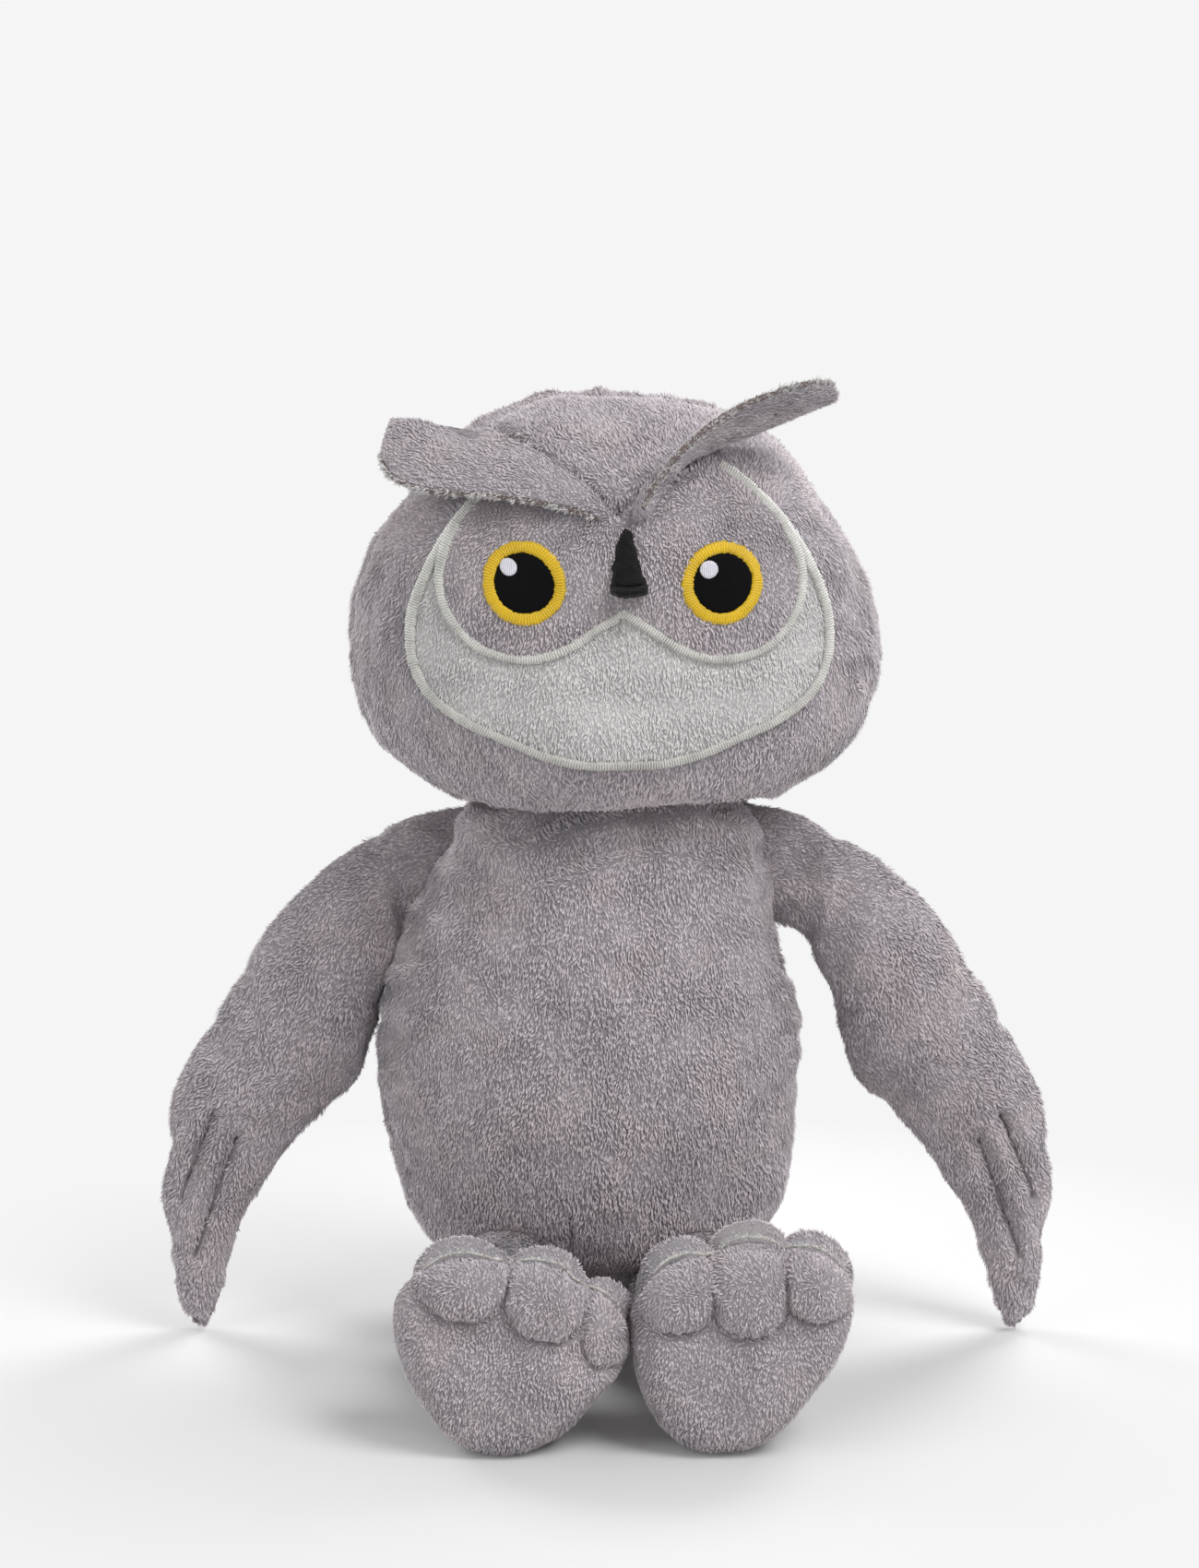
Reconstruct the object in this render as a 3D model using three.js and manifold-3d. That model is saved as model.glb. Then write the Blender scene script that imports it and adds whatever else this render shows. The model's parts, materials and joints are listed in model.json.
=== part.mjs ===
// A seated plush owl, about 27 cm tall: a pear-shaped body on a bag of pellets, a wide head with an
// appliqued face and two sewn-on brow flaps, long wings that end in three feathers, and short legs
// whose three-toed feet show their soles. Every stuffed form is a cloth cover with its filling inside.
// Millimetres, +Z up. The origin is the middle of the seat on the floor, and the owl faces -Y, so
// its own left side is at +X.
import * as THREE from "three";
import { mergeVertices } from "three/addons/utils/BufferGeometryUtils.js";
import Module from "manifold-3d";

const wasm = await Module();
wasm.setup();

// Cloth, seams and clearances.
const CLOTH = 2; // plush with its backing
const GAP = 0.3; // between touching pieces
const SEAT_TRIM = 0.5; // what rests on the floor is cut flat this deep
const SWING_MARGIN = 0.3; // more clearance for a limb that swings along the body
const OVERRUN = 60; // how far a cutting solid runs past what it cuts

// Body.
const BODY_HEIGHT = 154;
const BODY_HALF_WIDTH = 57.5;
const BODY_HALF_DEPTH = 49;
const BASE_PANEL_HEIGHT = 7;
const STUFFING_HOLE_RADIUS = 20; // at the top of the body's cover
const PELLET_BAG_RADIUS = 30;
const PELLET_BAG_HEIGHT = 20;

// Neck: the body ends in a ball that the head turns and nods on.
const NECK_BALL = 40;
const NECK_DROP = 16; // of the ball's centre below the top of the body
const NECK_CENTRE_HEIGHT = BODY_HEIGHT - NECK_DROP;
const NECK_LEAN = 5; // to the owl's left
const WAD_THICKNESS = 6;
const WAD_RIM_HEIGHT = 28; // above the ball's centre

// Head. Heights on it are measured from the centre of the ball.
const HEAD_BOTTOM = 19;
const HEAD_HEIGHT = 113;
const HEAD_HALF_WIDTH = 72.5;
const HEAD_HALF_DEPTH = 54;
const HEAD_TURN = THREE.MathUtils.degToRad(3);
const HEAD_SIDE_OFFSET = 2; // of its middle from the ball, to the owl's left

// Face, seen from the front.
const APPLIQUE = 1.2; // thickness of a patch laid on the head
const THREAD = 0.8; // thickness of satin stitch
const SATIN_WIDTH = 2.6;
const FACE_HALF_WIDTH = 56;
const FACE_BOTTOM = 35;
const FACE_HEIGHT = 78;
const MASK_HALF_WIDTH = 48;
const MASK_BOTTOM = 63;
const MASK_HEIGHT = 50;
const EYE_SPACING = 52.4;
const EYE_HEIGHT = 82.3;
const EYE_RADIUS = 11.3;
const PUPIL_RADIUS = 8.4;
const GLINT_RADIUS = 2.3;
const GLINT_OFFSET = 5.4; // from the middle of the pupil, up and to the owl's right
const BEAK_TOP = 97;
const BEAK_LENGTH = 18;
const BEAK_HALF_WIDTH = 4.8;
const BEAK_REACH = 6;

// Brow flaps, each sewn along a line that climbs from the point between the eyes.
const BROW_DROP = 31; // of that point below the crown
const BROW_HEIGHT = HEAD_BOTTOM + HEAD_HEIGHT - BROW_DROP;
const BROW_SPREAD = 45; // of each line, from that point to the crown
const BROW_LENGTH = 73;
const BROW_WIDTH = 29;
const BROW_THICKNESS = 4.6;
const BROW_SEAM_RISE = 2.1; // of a flap's middle at its seam
const BROW_CURL = 3; // of its free edge towards the head
const RIGHT_BROW_CURVE = 66; // radius to which the flap is bent along its seam
const LEFT_BROW_CURVE = 48;
const RIGHT_BROW_LIFT = THREE.MathUtils.degToRad(12); // as low as a flap lies on the head
const LEFT_BROW_LIFT = THREE.MathUtils.degToRad(86);

// Wings.
const WING_SPAN = 88; // from the top of the shoulder seam outwards
const WING_DROP = 153;
const WING_THICKNESS = 25;
const FEATHER_GROOVE_DEPTH = 3.4; // depth of the two sewn lines that part the feathers
const SHOULDER_HALF_WIDTH = 38;
const SHOULDER_HEIGHT = 154;
const SHOULDER_HINGE_OUT = 4; // of the hinge line from the top of the seam
const SHOULDER_HINGE_TILT = THREE.MathUtils.degToRad(12); // it spreads downwards, as the body does
const WING_SWING = [-25, 40].map(THREE.MathUtils.degToRad); // backwards and forwards

// Legs and feet.
const HIP_SPACING = 53;
const HIP_HEIGHT = 15;
const HIP_FORWARD = 37;
const LEG_LENGTH = 47; // from the hip seam to the middle of the ankle
const LEG_HALF_WIDTH = 19.5;
const LEG_RISE = 28; // of its top above the hip seam
const LEG_SWING = [-12, 60].map(THREE.MathUtils.degToRad); // up and down
const LEFT_LEG_LEAN = 12.5; // of the ankles to the owl's left
const RIGHT_LEG_LEAN = 5.5;
const ANKLE_RADIUS = 16;
const ANKLE_HEIGHT = 21;
const ANKLE_INSET = 5; // of the ankle's middle behind the foot
const ANKLE_HOLE_RADIUS = 9; // where the leg's stuffing runs on into the foot
const LEFT_FOOT_HALF_WIDTH = 28.8;
const LEFT_FOOT_HALF_HEIGHT = 28.7;
const RIGHT_FOOT_HALF_WIDTH = 31.3; // pressed wider and lower than the left
const RIGHT_FOOT_HALF_HEIGHT = 24.6;
const FOOT_THICKNESS = 29;
const RIGHT_FOOT_ROLL = THREE.MathUtils.degToRad(17);
const TOE_CREASE_DEPTH = 3;
const FOOT_SIDE_OFFSET = 1.5; // of the feet's middles from the ankles, outwards

const GREY_PLUSH = { color: 0x8d898d, roughness: 0.95 };
const PALE_PLUSH = { color: 0xb7b8b8, roughness: 0.95 };
const PALE_THREAD = { color: 0xb9b6ae, roughness: 0.6 };
const YELLOW_THREAD = { color: 0xe8be12, roughness: 0.55 };
const BLACK_THREAD = { color: 0x16171a, roughness: 0.6 };
const WHITE_THREAD = { color: 0xe4e2ea, roughness: 0.55 };
const BLACK_CLOTH = { color: 0x1b1c1e, roughness: 0.8 };
const WHITE_FILLING = { color: 0xf0efea, roughness: 1 };
const BAG_CLOTH = { color: 0xd8d4c8, roughness: 0.9 };

// Solids.

function solidOf(geometry) {
  const bare = geometry.clone();
  bare.deleteAttribute("normal");
  bare.deleteAttribute("uv");
  const merged = mergeVertices(bare);
  return new wasm.Manifold(
    new wasm.Mesh({
      numProp: 3,
      vertProperties: new Float32Array(merged.attributes.position.array),
      triVerts: new Uint32Array(merged.index.array),
    }),
  );
}

function geometryOf(solid) {
  const mesh = solid.getMesh();
  const corners = new Float32Array(mesh.numVert * 3);
  for (let i = 0; i < mesh.numVert; i++) {
    corners.set(mesh.vertProperties.subarray(i * mesh.numProp, i * mesh.numProp + 3), i * 3);
  }
  const geometry = new THREE.BufferGeometry();
  geometry.setAttribute("position", new THREE.BufferAttribute(corners, 3));
  geometry.setIndex(new THREE.BufferAttribute(mesh.triVerts, 1));
  return geometry;
}

function middleOf(ring) {
  const sum = ring.reduce((total, p) => total.add(p), new THREE.Vector3());
  return sum.divideScalar(ring.length);
}

// Rings of points joined into a skin that is closed by a fan at each end.
function skinOf(rings) {
  const around = rings[0].length;
  const corners = [...rings.flat(), middleOf(rings[0]), middleOf(rings.at(-1))];
  const last = (rings.length - 1) * around;
  const faces = [];
  for (let j = 0; j < around; j++) {
    const next = (j + 1) % around;
    for (let row = 0; row < last; row += around) {
      faces.push(row + j, row + next, row + next + around, row + j, row + next + around, row + j + around);
    }
    faces.push(corners.length - 2, next, j, corners.length - 1, last + j, last + next);
  }
  const geometry = new THREE.BufferGeometry().setFromPoints(corners);
  geometry.setIndex(faces);
  return geometry;
}

// Six times the volume that a skin encloses: negative where its faces point inwards.
function enclosed(geometry) {
  const { index, attributes } = geometry;
  const corner = (k) => new THREE.Vector3().fromBufferAttribute(attributes.position, index.getX(k));
  let sum = 0;
  for (let k = 0; k < index.count; k += 3) {
    sum += corner(k).dot(corner(k + 1).cross(corner(k + 2)));
  }
  return sum;
}

function outwards(rings) {
  return enclosed(skinOf(rings)) > 0 ? rings : rings.map((ring) => [...ring].reverse());
}

function formOf(rings) {
  return solidOf(skinOf(outwards(rings)));
}

// The same rings moved along the normal at each point: outwards, or inwards if the distance is negative.
function grown(rings, distance) {
  const facing = outwards(rings);
  return facing.map((ring, i) => {
    const before = facing[i - 1] ?? ring.map(() => middleOf(ring));
    const after = facing[i + 1] ?? ring.map(() => middleOf(ring));
    return ring.map((p, j) => {
      const along = ring[(j + 1) % ring.length].clone().sub(ring.at(j - 1));
      const normal = along.cross(after[j].clone().sub(before[j])).normalize();
      return p.clone().addScaledVector(normal, distance);
    });
  });
}

// Every second ring and every second point, with both ends kept: enough for what lies inside a cover.
function coarser(rings) {
  const kept = rings.filter((ring, i) => i % 2 === 0 || i === rings.length - 1);
  return kept.map((ring) => ring.filter((p, j) => j % 2 === 0));
}

function placed(rings, matrix) {
  return rings.map((ring) => ring.map((p) => p.clone().applyMatrix4(matrix)));
}

// A prism of a flat outline drawn in x and z, running through all that lies in front of the level y.
function prism(outline, level = -GAP, curveSegments = 14) {
  const geometry = new THREE.ExtrudeGeometry(outline, {
    depth: HEAD_HALF_DEPTH + OVERRUN,
    bevelEnabled: false,
    curveSegments,
  });
  geometry.rotateX(Math.PI / 2);
  geometry.translate(0, level, 0);
  return solidOf(geometry);
}

function ball(radius, centre = new THREE.Vector3(), columns = 24, rows = 14) {
  const geometry = new THREE.SphereGeometry(radius, columns, rows);
  geometry.rotateX(Math.PI / 2);
  geometry.translate(...centre.toArray());
  return solidOf(geometry);
}

// A faceted ball whose flat faces, and not its corners, lie at the radius or beyond, for a socket.
function roundSocket(radius, columns = 24, rows = 14) {
  const flats = Math.cos(Math.PI / columns) * Math.cos(Math.PI / (2 * rows));
  return ball(radius / flats, undefined, columns, rows);
}

// Everything beyond a level on an axis, or short of it, as a block wide enough for the whole owl.
const REACH = NECK_CENTRE_HEIGHT + HEAD_BOTTOM + HEAD_HEIGHT + OVERRUN;
function halfSpace(axis, level, way, matrix = new THREE.Matrix4()) {
  const geometry = new THREE.BoxGeometry(2 * REACH, 2 * REACH, 2 * REACH);
  const centre = new THREE.Vector3();
  centre[axis] = level + way * REACH;
  geometry.translate(...centre.toArray());
  return solidOf(geometry.applyMatrix4(matrix));
}
const beyond = (axis, level) => halfSpace(axis, level, 1);
const shortOf = (axis, level) => halfSpace(axis, level, -1);

// Profiles.

// A smooth curve through the rows of a table, read at a share of the way from first to last.
function smoothRow(rows, share) {
  const at = Math.min(share, 1) * (rows.length - 1);
  const i = Math.min(Math.floor(at), rows.length - 2);
  const rowAt = (k) => rows[THREE.MathUtils.clamp(k, 0, rows.length - 1)];
  const t = at - i;
  const [t2, t3] = [t * t, t * t * t];
  return rowAt(i).map((value, k) => {
    const next = rowAt(i + 1)[k];
    const slope = (next - rowAt(i - 1)[k]) / 2;
    const nextSlope = (rowAt(i + 2)[k] - value) / 2;
    const ends = value * (2 * t3 - 3 * t2 + 1) + next * (3 * t2 - 2 * t3);
    return ends + slope * (t3 - 2 * t2 + t) + nextSlope * (t3 - t2);
  });
}

// A point on the unit superellipse: a squareness of 2 is a circle, and more is squarer.
function roundShare(angle, squareness) {
  const soften = (v) => Math.sign(v) * Math.abs(v) ** (2 / squareness);
  return [soften(Math.cos(angle)), soften(Math.sin(angle))];
}

// Rings of a form that stands upright. Each row of shares gives height, half width, front and back.
function standing(rows, size, ringCount, around, squareness = 2.2) {
  return Array.from({ length: ringCount }, (_, i) => {
    const [up, wide, front, back] = smoothRow(rows, i / (ringCount - 1));
    return Array.from({ length: around }, (_, j) => {
      const [x, y] = roundShare((j / around) * 2 * Math.PI, squareness);
      const depth = (y < 0 ? front : back) * size.halfDepth;
      return new THREE.Vector3(x * wide * size.halfWidth, y * depth, up * size.height);
    });
  });
}

// Rings of a leaf that lies between two edge curves in the plane across its facing. Each ring has
// the same places across on both faces, and halfThickness gives the height there. The leaf can be
// inset all round, and raised along its facing.
function leaf({ edge, otherEdge, facing, acrossShares, halfThickness, ringCount, inset = 0, raised = 0 }) {
  return Array.from({ length: ringCount }, (_, i) => {
    const along = i / (ringCount - 1);
    const from = edge.getPoint(along);
    const to = otherEdge.getPoint(along);
    const middle = from.clone().lerp(to, 0.5);
    const half = from.clone().sub(middle);
    half.setLength(half.length() - inset);
    const place = (across, face) => {
      const up = Math.max(halfThickness(along, across) - inset, 0) * Math.sqrt(1 - across * across);
      return middle.clone().addScaledVector(half, across).addScaledVector(facing, face * up + raised);
    };
    const front = acrossShares.map((across) => place(across, 1));
    const back = acrossShares.slice(1, -1).map((across) => place(across, -1));
    return [...front, ...back.reverse()];
  });
}

// Rings of a pillow over an outline drawn in x and z, from its back at +y to its front. They shrink
// towards its heart, and height gives how far each place lies from the middle plane.
function pillow(outline, heart, backScales, frontScales, height) {
  const ringsOf = (scales, face) =>
    scales.map((scale) =>
      outline.map((p) => {
        const place = heart.clone().lerp(p, scale);
        return new THREE.Vector3(place.x, -face * height(scale, face, place), place.y);
      }),
    );
  return [...ringsOf(backScales, -1), ...ringsOf(frontScales, 1)];
}

// Groups and meshes.

const owl = new THREE.Group();

function group(parent, position = new THREE.Vector3()) {
  const made = new THREE.Group();
  made.position.copy(position);
  parent.add(made);
  return made;
}

function add(parent, name, solid, look) {
  const mesh = new THREE.Mesh(geometryOf(solid), new THREE.MeshStandardMaterial({ metalness: 0, ...look }));
  mesh.name = name;
  parent.add(mesh);
}

// From the frame of one group into the frame of another.
function between(from, to) {
  owl.updateMatrixWorld(true);
  return to.matrixWorld.clone().invert().multiply(from.matrixWorld);
}

// What a form covers, with a margin, while a limb that is drawn in hinge's frame swings about axis.
function sweptBy(rings, from, hinge, axis, [least, most], steps) {
  const clear = grown(rings, GAP + SWING_MARGIN);
  const intoHinge = between(from, hinge);
  const solids = Array.from({ length: steps }, (_, i) => {
    const angle = THREE.MathUtils.lerp(least, most, i / (steps - 1));
    const turn = new THREE.Matrix4().makeRotationAxis(axis, -angle);
    return formOf(placed(clear, turn.multiply(intoHinge)));
  });
  return solids.reduce((joined, solid) => joined.add(solid));
}

// Body. Rows: height, half width, front and back, from the seat up to the neck.

const BODY_SHARES = [
  [0, 0.44, 0.46, 0.56],
  [0.008, 0.56, 0.6, 0.7],
  [0.05, 0.68, 0.74, 0.84],
  [0.13, 0.79, 0.83, 0.93],
  [0.24, 0.9, 0.92, 1],
  [0.37, 0.97, 0.99, 1.03],
  [0.51, 1, 1, 1],
  [0.64, 0.98, 0.97, 0.95],
  [0.775, 0.9, 0.91, 0.9],
  [0.89, 0.8, 0.84, 0.83],
  [0.965, 0.71, 0.77, 0.74],
  [0.995, 0.64, 0.7, 0.64],
  [1, 0.3, 0.3, 0.3],
];
const neckCentre = new THREE.Vector3(NECK_LEAN, 0, NECK_CENTRE_HEIGHT);
const bodySize = { halfWidth: BODY_HALF_WIDTH, halfDepth: BODY_HALF_DEPTH, height: BODY_HEIGHT };

// The body leans towards its top, and its lowest ring lies in the seat's trim.
const LEAN_SHARES = [0.65, 1.05]; // of the body's height, where the lean starts and ends
function leaning(rings) {
  const lean = (z) => NECK_LEAN * THREE.MathUtils.smoothstep(z / BODY_HEIGHT, ...LEAN_SHARES);
  return rings.map((ring) => ring.map((p) => new THREE.Vector3(p.x + lean(p.z), p.y, p.z - SEAT_TRIM)));
}
const bodyRings = leaning(standing(BODY_SHARES, bodySize, 12, 18));
const insideBody = coarser(bodyRings);

function makeBody() {
  const hole = new THREE.CylinderGeometry(STUFFING_HOLE_RADIUS, STUFFING_HOLE_RADIUS, NECK_BALL + OVERRUN, 14);
  hole.rotateX(Math.PI / 2);
  hole.translate(neckCentre.x, neckCentre.y, neckCentre.z + (NECK_BALL + OVERRUN) / 2);
  const form = formOf(bodyRings).add(ball(NECK_BALL, neckCentre)).intersect(beyond("z", 0));
  const hollow = formOf(grown(insideBody, -CLOTH)).add(ball(NECK_BALL - CLOTH, neckCentre, 12, 8));
  const cover = form.subtract(hollow.intersect(beyond("z", CLOTH))).subtract(solidOf(hole));
  const sides = cover.intersect(beyond("z", BASE_PANEL_HEIGHT + GAP));
  add(owl, "body_base_panel", cover.intersect(shortOf("z", BASE_PANEL_HEIGHT)), GREY_PLUSH);
  add(owl, "body_front_panel", sides.intersect(shortOf("y", -GAP / 2)), GREY_PLUSH);
  add(owl, "body_back_panel", sides.intersect(beyond("y", GAP / 2)), GREY_PLUSH);
}
makeBody();

// The bag lies on the base panel, in a pocket of the filling that is open below.
const BAG_SHARES = [
  [0, 0.62, 0.62, 0.62],
  [0.12, 0.86, 0.86, 0.86],
  [0.4, 1, 1, 1],
  [0.72, 0.86, 0.86, 0.86],
  [0.93, 0.55, 0.55, 0.55],
  [1, 0.2, 0.2, 0.2],
];
function makeBodyFilling() {
  const size = { halfWidth: PELLET_BAG_RADIUS, halfDepth: PELLET_BAG_RADIUS, height: PELLET_BAG_HEIGHT };
  const onBasePanel = new THREE.Matrix4().makeTranslation(0, 0, CLOTH + GAP);
  const bagRings = placed(standing(BAG_SHARES, size, 6, 12, 2), onBasePanel);
  const filling = formOf(grown(insideBody, -CLOTH - GAP))
    .add(ball(NECK_BALL - CLOTH - GAP, neckCentre, 12, 8))
    .intersect(beyond("z", CLOTH + GAP));
  const bag = formOf(bagRings).intersect(formOf(grown(insideBody, -CLOTH - GAP)));
  const mouth = new THREE.CylinderGeometry(PELLET_BAG_RADIUS / 2, PELLET_BAG_RADIUS / 2, PELLET_BAG_HEIGHT, 8);
  mouth.rotateX(Math.PI / 2);
  const pocket = formOf(grown(bagRings, GAP)).add(solidOf(mouth));
  add(owl, "pellet_bag", bag.intersect(beyond("z", CLOTH + GAP)), BAG_CLOTH);
  add(owl, "body_filling", filling.subtract(pocket), WHITE_FILLING);
}
makeBodyFilling();

// Neck. A wad of filling caps the ball and nods on it, and the head turns on the wad.

const neck = group(owl, neckCentre);
const socket = roundSocket(NECK_BALL + GAP);
const wadOutside = NECK_BALL + GAP + WAD_THICKNESS;
const wadCap = ball(wadOutside, undefined, 16, 10).subtract(socket).intersect(beyond("z", WAD_RIM_HEIGHT));
add(neck, "neck_wad", wadCap, WHITE_FILLING);

// Head. Rows: height, half width, front and back, from the flat underside up to the crown.

const HEAD_SHARES = [
  [0, 0.52, 0.64, 0.64],
  [0.012, 0.6, 0.76, 0.74],
  [0.045, 0.7, 0.86, 0.82],
  [0.11, 0.83, 0.95, 0.91],
  [0.19, 0.94, 1, 0.97],
  [0.29, 1, 1.02, 1],
  [0.4, 1, 1.02, 1.02],
  [0.52, 0.96, 1, 1],
  [0.64, 0.88, 0.95, 0.96],
  [0.75, 0.765, 0.84, 0.88],
  [0.85, 0.625, 0.69, 0.74],
  [0.925, 0.475, 0.52, 0.57],
  [0.975, 0.29, 0.32, 0.35],
  [1, 0.09, 0.1, 0.1],
];
const head = group(neck);
head.rotation.z = HEAD_TURN;
const headSize = { halfWidth: HEAD_HALF_WIDTH, halfDepth: HEAD_HALF_DEPTH, height: HEAD_HEIGHT };
const aboveNeck = new THREE.Matrix4().makeTranslation(HEAD_SIDE_OFFSET, 0, HEAD_BOTTOM);
const headRings = placed(standing(HEAD_SHARES, headSize, 13, 24), aboveNeck);
const insideHead = coarser(headRings);

// The crown panel fills the V between the two brow seams, on the front half of the head.
function crownWedge(margin) {
  const top = BROW_DROP + OVERRUN;
  const outline = new THREE.Shape();
  outline.moveTo(0, BROW_HEIGHT - 2 * margin);
  outline.lineTo((BROW_SPREAD * top) / BROW_DROP + margin, BROW_HEIGHT + top);
  outline.lineTo((-BROW_SPREAD * top) / BROW_DROP - margin, BROW_HEIGHT + top);
  outline.closePath();
  return prism(outline, 0);
}

function makeHead() {
  const cover = formOf(headRings).subtract(formOf(grown(insideHead, -CLOTH))).subtract(socket);
  const front = cover.intersect(shortOf("y", -GAP / 2));
  const wadSocket = roundSocket(wadOutside + GAP, 16, 10).intersect(beyond("z", WAD_RIM_HEIGHT - GAP));
  const filling = formOf(grown(insideHead, -CLOTH - GAP)).subtract(socket).subtract(wadSocket);
  add(head, "head_face_panel", front.subtract(crownWedge(GAP)), GREY_PLUSH);
  add(head, "head_crown_panel", front.intersect(crownWedge(0)), GREY_PLUSH);
  add(head, "head_back_panel", cover.intersect(beyond("y", GAP / 2)), GREY_PLUSH);
  add(head, "head_filling", filling, WHITE_FILLING);
}
makeHead();

// Face. What lies on it is cut from skins of the head, so each layer follows the head's curve.

const satinLift = 2 * GAP + APPLIQUE;
function faceLayer(lift, thickness) {
  return formOf(grown(headRings, lift + thickness)).subtract(formOf(grown(headRings, lift)));
}
const satinLayer = faceLayer(satinLift, THREAD);

// Half of each outline from the middle outwards, as shares of its half width and height.
const FACE_SHARES = [
  [0, 0],
  [0.2, 0.004],
  [0.38, 0.035],
  [0.56, 0.085],
  [0.74, 0.14],
  [0.9, 0.225],
  [0.985, 0.33],
  [1, 0.43],
  [0.975, 0.535],
  [0.91, 0.65],
  [0.82, 0.76],
  [0.71, 0.86],
  [0.585, 0.945],
  [0.47, 1],
];
const MASK_SHARES = [
  [0, 0.255],
  [0.15, 0.16],
  [0.3, 0.068],
  [0.46, 0.012],
  [0.62, 0.008],
  [0.775, 0.05],
  [0.9, 0.15],
  [0.98, 0.28],
  [1, 0.42],
  [0.965, 0.56],
  [0.9, 0.69],
];
function halfLine(shares, side, halfWidth, bottom, height, divisions) {
  const points = shares.map(([x, z]) => new THREE.Vector2(side * x * halfWidth, bottom + z * height));
  return new THREE.SplineCurve(points).getPoints(divisions);
}
const faceHalf = (side) => halfLine(FACE_SHARES, side, FACE_HALF_WIDTH, FACE_BOTTOM, FACE_HEIGHT, 15);
const maskHalf = (side) => halfLine(MASK_SHARES, side, MASK_HALF_WIDTH, MASK_BOTTOM, MASK_HEIGHT, 13);
const faceLine = [...faceHalf(-1).reverse(), ...faceHalf(1).slice(1)];
const maskLine = [...maskHalf(-1).reverse(), ...maskHalf(1).slice(1)];

// A line moved to its left, or to its right if the distance is negative.
function sideways(line, distance) {
  return line.map((p, i) => {
    const before = line[Math.max(i - 1, 0)];
    const after = line[Math.min(i + 1, line.length - 1)];
    const way = after.clone().sub(before).setLength(distance);
    return new THREE.Vector2(p.x - way.y, p.y + way.x);
  });
}
function band(line, width) {
  return prism(new THREE.Shape([...sideways(line, width / 2), ...sideways(line, -width / 2).reverse()]));
}

function makeFacePatches() {
  const browPoint = new THREE.Vector2(0, BROW_HEIGHT - 2 * GAP);
  const whole = faceLayer(GAP, APPLIQUE).intersect(prism(new THREE.Shape([...faceLine, browPoint])));
  const above = (margin) =>
    new THREE.Shape([
      ...sideways(maskLine, margin),
      new THREE.Vector2(FACE_HALF_WIDTH, REACH),
      new THREE.Vector2(-FACE_HALF_WIDTH, REACH),
    ]);
  add(head, "face_patch", whole.subtract(prism(above(-GAP / 2), 0)), PALE_PLUSH);
  add(head, "eye_mask_patch", whole.intersect(prism(above(GAP / 2))), GREY_PLUSH);
  add(head, "face_border_stitching", satinLayer.intersect(band(faceLine, SATIN_WIDTH)), PALE_THREAD);
  const maskBorder = satinLayer.intersect(band(maskLine, SATIN_WIDTH));
  add(head, "mask_border_stitching", maskBorder.subtract(band(faceLine, SATIN_WIDTH + 2 * GAP)), PALE_THREAD);
}
makeFacePatches();

function makeEye(name, side) {
  const disc = (x, z, radius) => {
    const shape = new THREE.Shape();
    shape.absarc(x, z, radius, 0, 2 * Math.PI);
    return prism(shape, -GAP, 12);
  };
  const x = (side * EYE_SPACING) / 2;
  const slant = GLINT_OFFSET * Math.SQRT1_2;
  const ring = disc(x, EYE_HEIGHT, EYE_RADIUS).subtract(disc(x, EYE_HEIGHT, PUPIL_RADIUS + GAP));
  const glintLayer = faceLayer(satinLift + THREAD + GAP, THREAD / 2);
  const glint = disc(x - slant, EYE_HEIGHT + slant, GLINT_RADIUS);
  add(head, `${name}_eye_ring`, satinLayer.intersect(ring), YELLOW_THREAD);
  add(head, `${name}_pupil`, satinLayer.intersect(disc(x, EYE_HEIGHT, PUPIL_RADIUS)), BLACK_THREAD);
  add(head, `${name}_eye_glint`, glintLayer.intersect(glint), WHITE_THREAD);
}
makeEye("left", 1);
makeEye("right", -1);

// Where a line of sight from the front meets a skin, and the way the skin faces there.
function frontOf(rings, x, z) {
  const mesh = new THREE.Mesh(skinOf(outwards(rings)));
  const sight = new THREE.Raycaster(new THREE.Vector3(x, -REACH, z), new THREE.Vector3(0, 1, 0));
  const [hit] = sight.intersectObject(mesh);
  return { point: hit.point, normal: hit.face.normal.clone() };
}

// The beak is a stuffed cone of black cloth, narrow at the top, that hooks out over its blunt end.
// Rows: height, half width and reach.
const BEAK_SHARES = [
  [0, 0.55, 0.5],
  [0.06, 0.92, 0.95],
  [0.2, 1, 1],
  [0.45, 0.8, 0.8],
  [0.75, 0.52, 0.6],
  [0.95, 0.3, 0.42],
  [1, 0.14, 0.2],
];
function makeBeak() {
  const skin = grown(headRings, satinLift);
  const foot = frontOf(skin, 0, BEAK_TOP - BEAK_LENGTH).point;
  const top = frontOf(skin, 0, BEAK_TOP).point;
  const size = { halfWidth: BEAK_HALF_WIDTH, halfDepth: BEAK_REACH, height: BEAK_LENGTH };
  const rows = BEAK_SHARES.map(([up, wide, reach]) => [up, wide, reach, reach]);
  const tilt = new THREE.Matrix4().set(
    ...[1, 0, 0, 0],
    ...[0, 1, (top.y - foot.y) / BEAK_LENGTH, foot.y],
    ...[0, 0, 1, foot.z],
    ...[0, 0, 0, 1],
  );
  const rings = placed(standing(rows, size, 8, 12, 2.4), tilt);
  add(head, "beak", formOf(rings).subtract(formOf(skin)), BLACK_CLOTH);
}
makeBeak();

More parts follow.
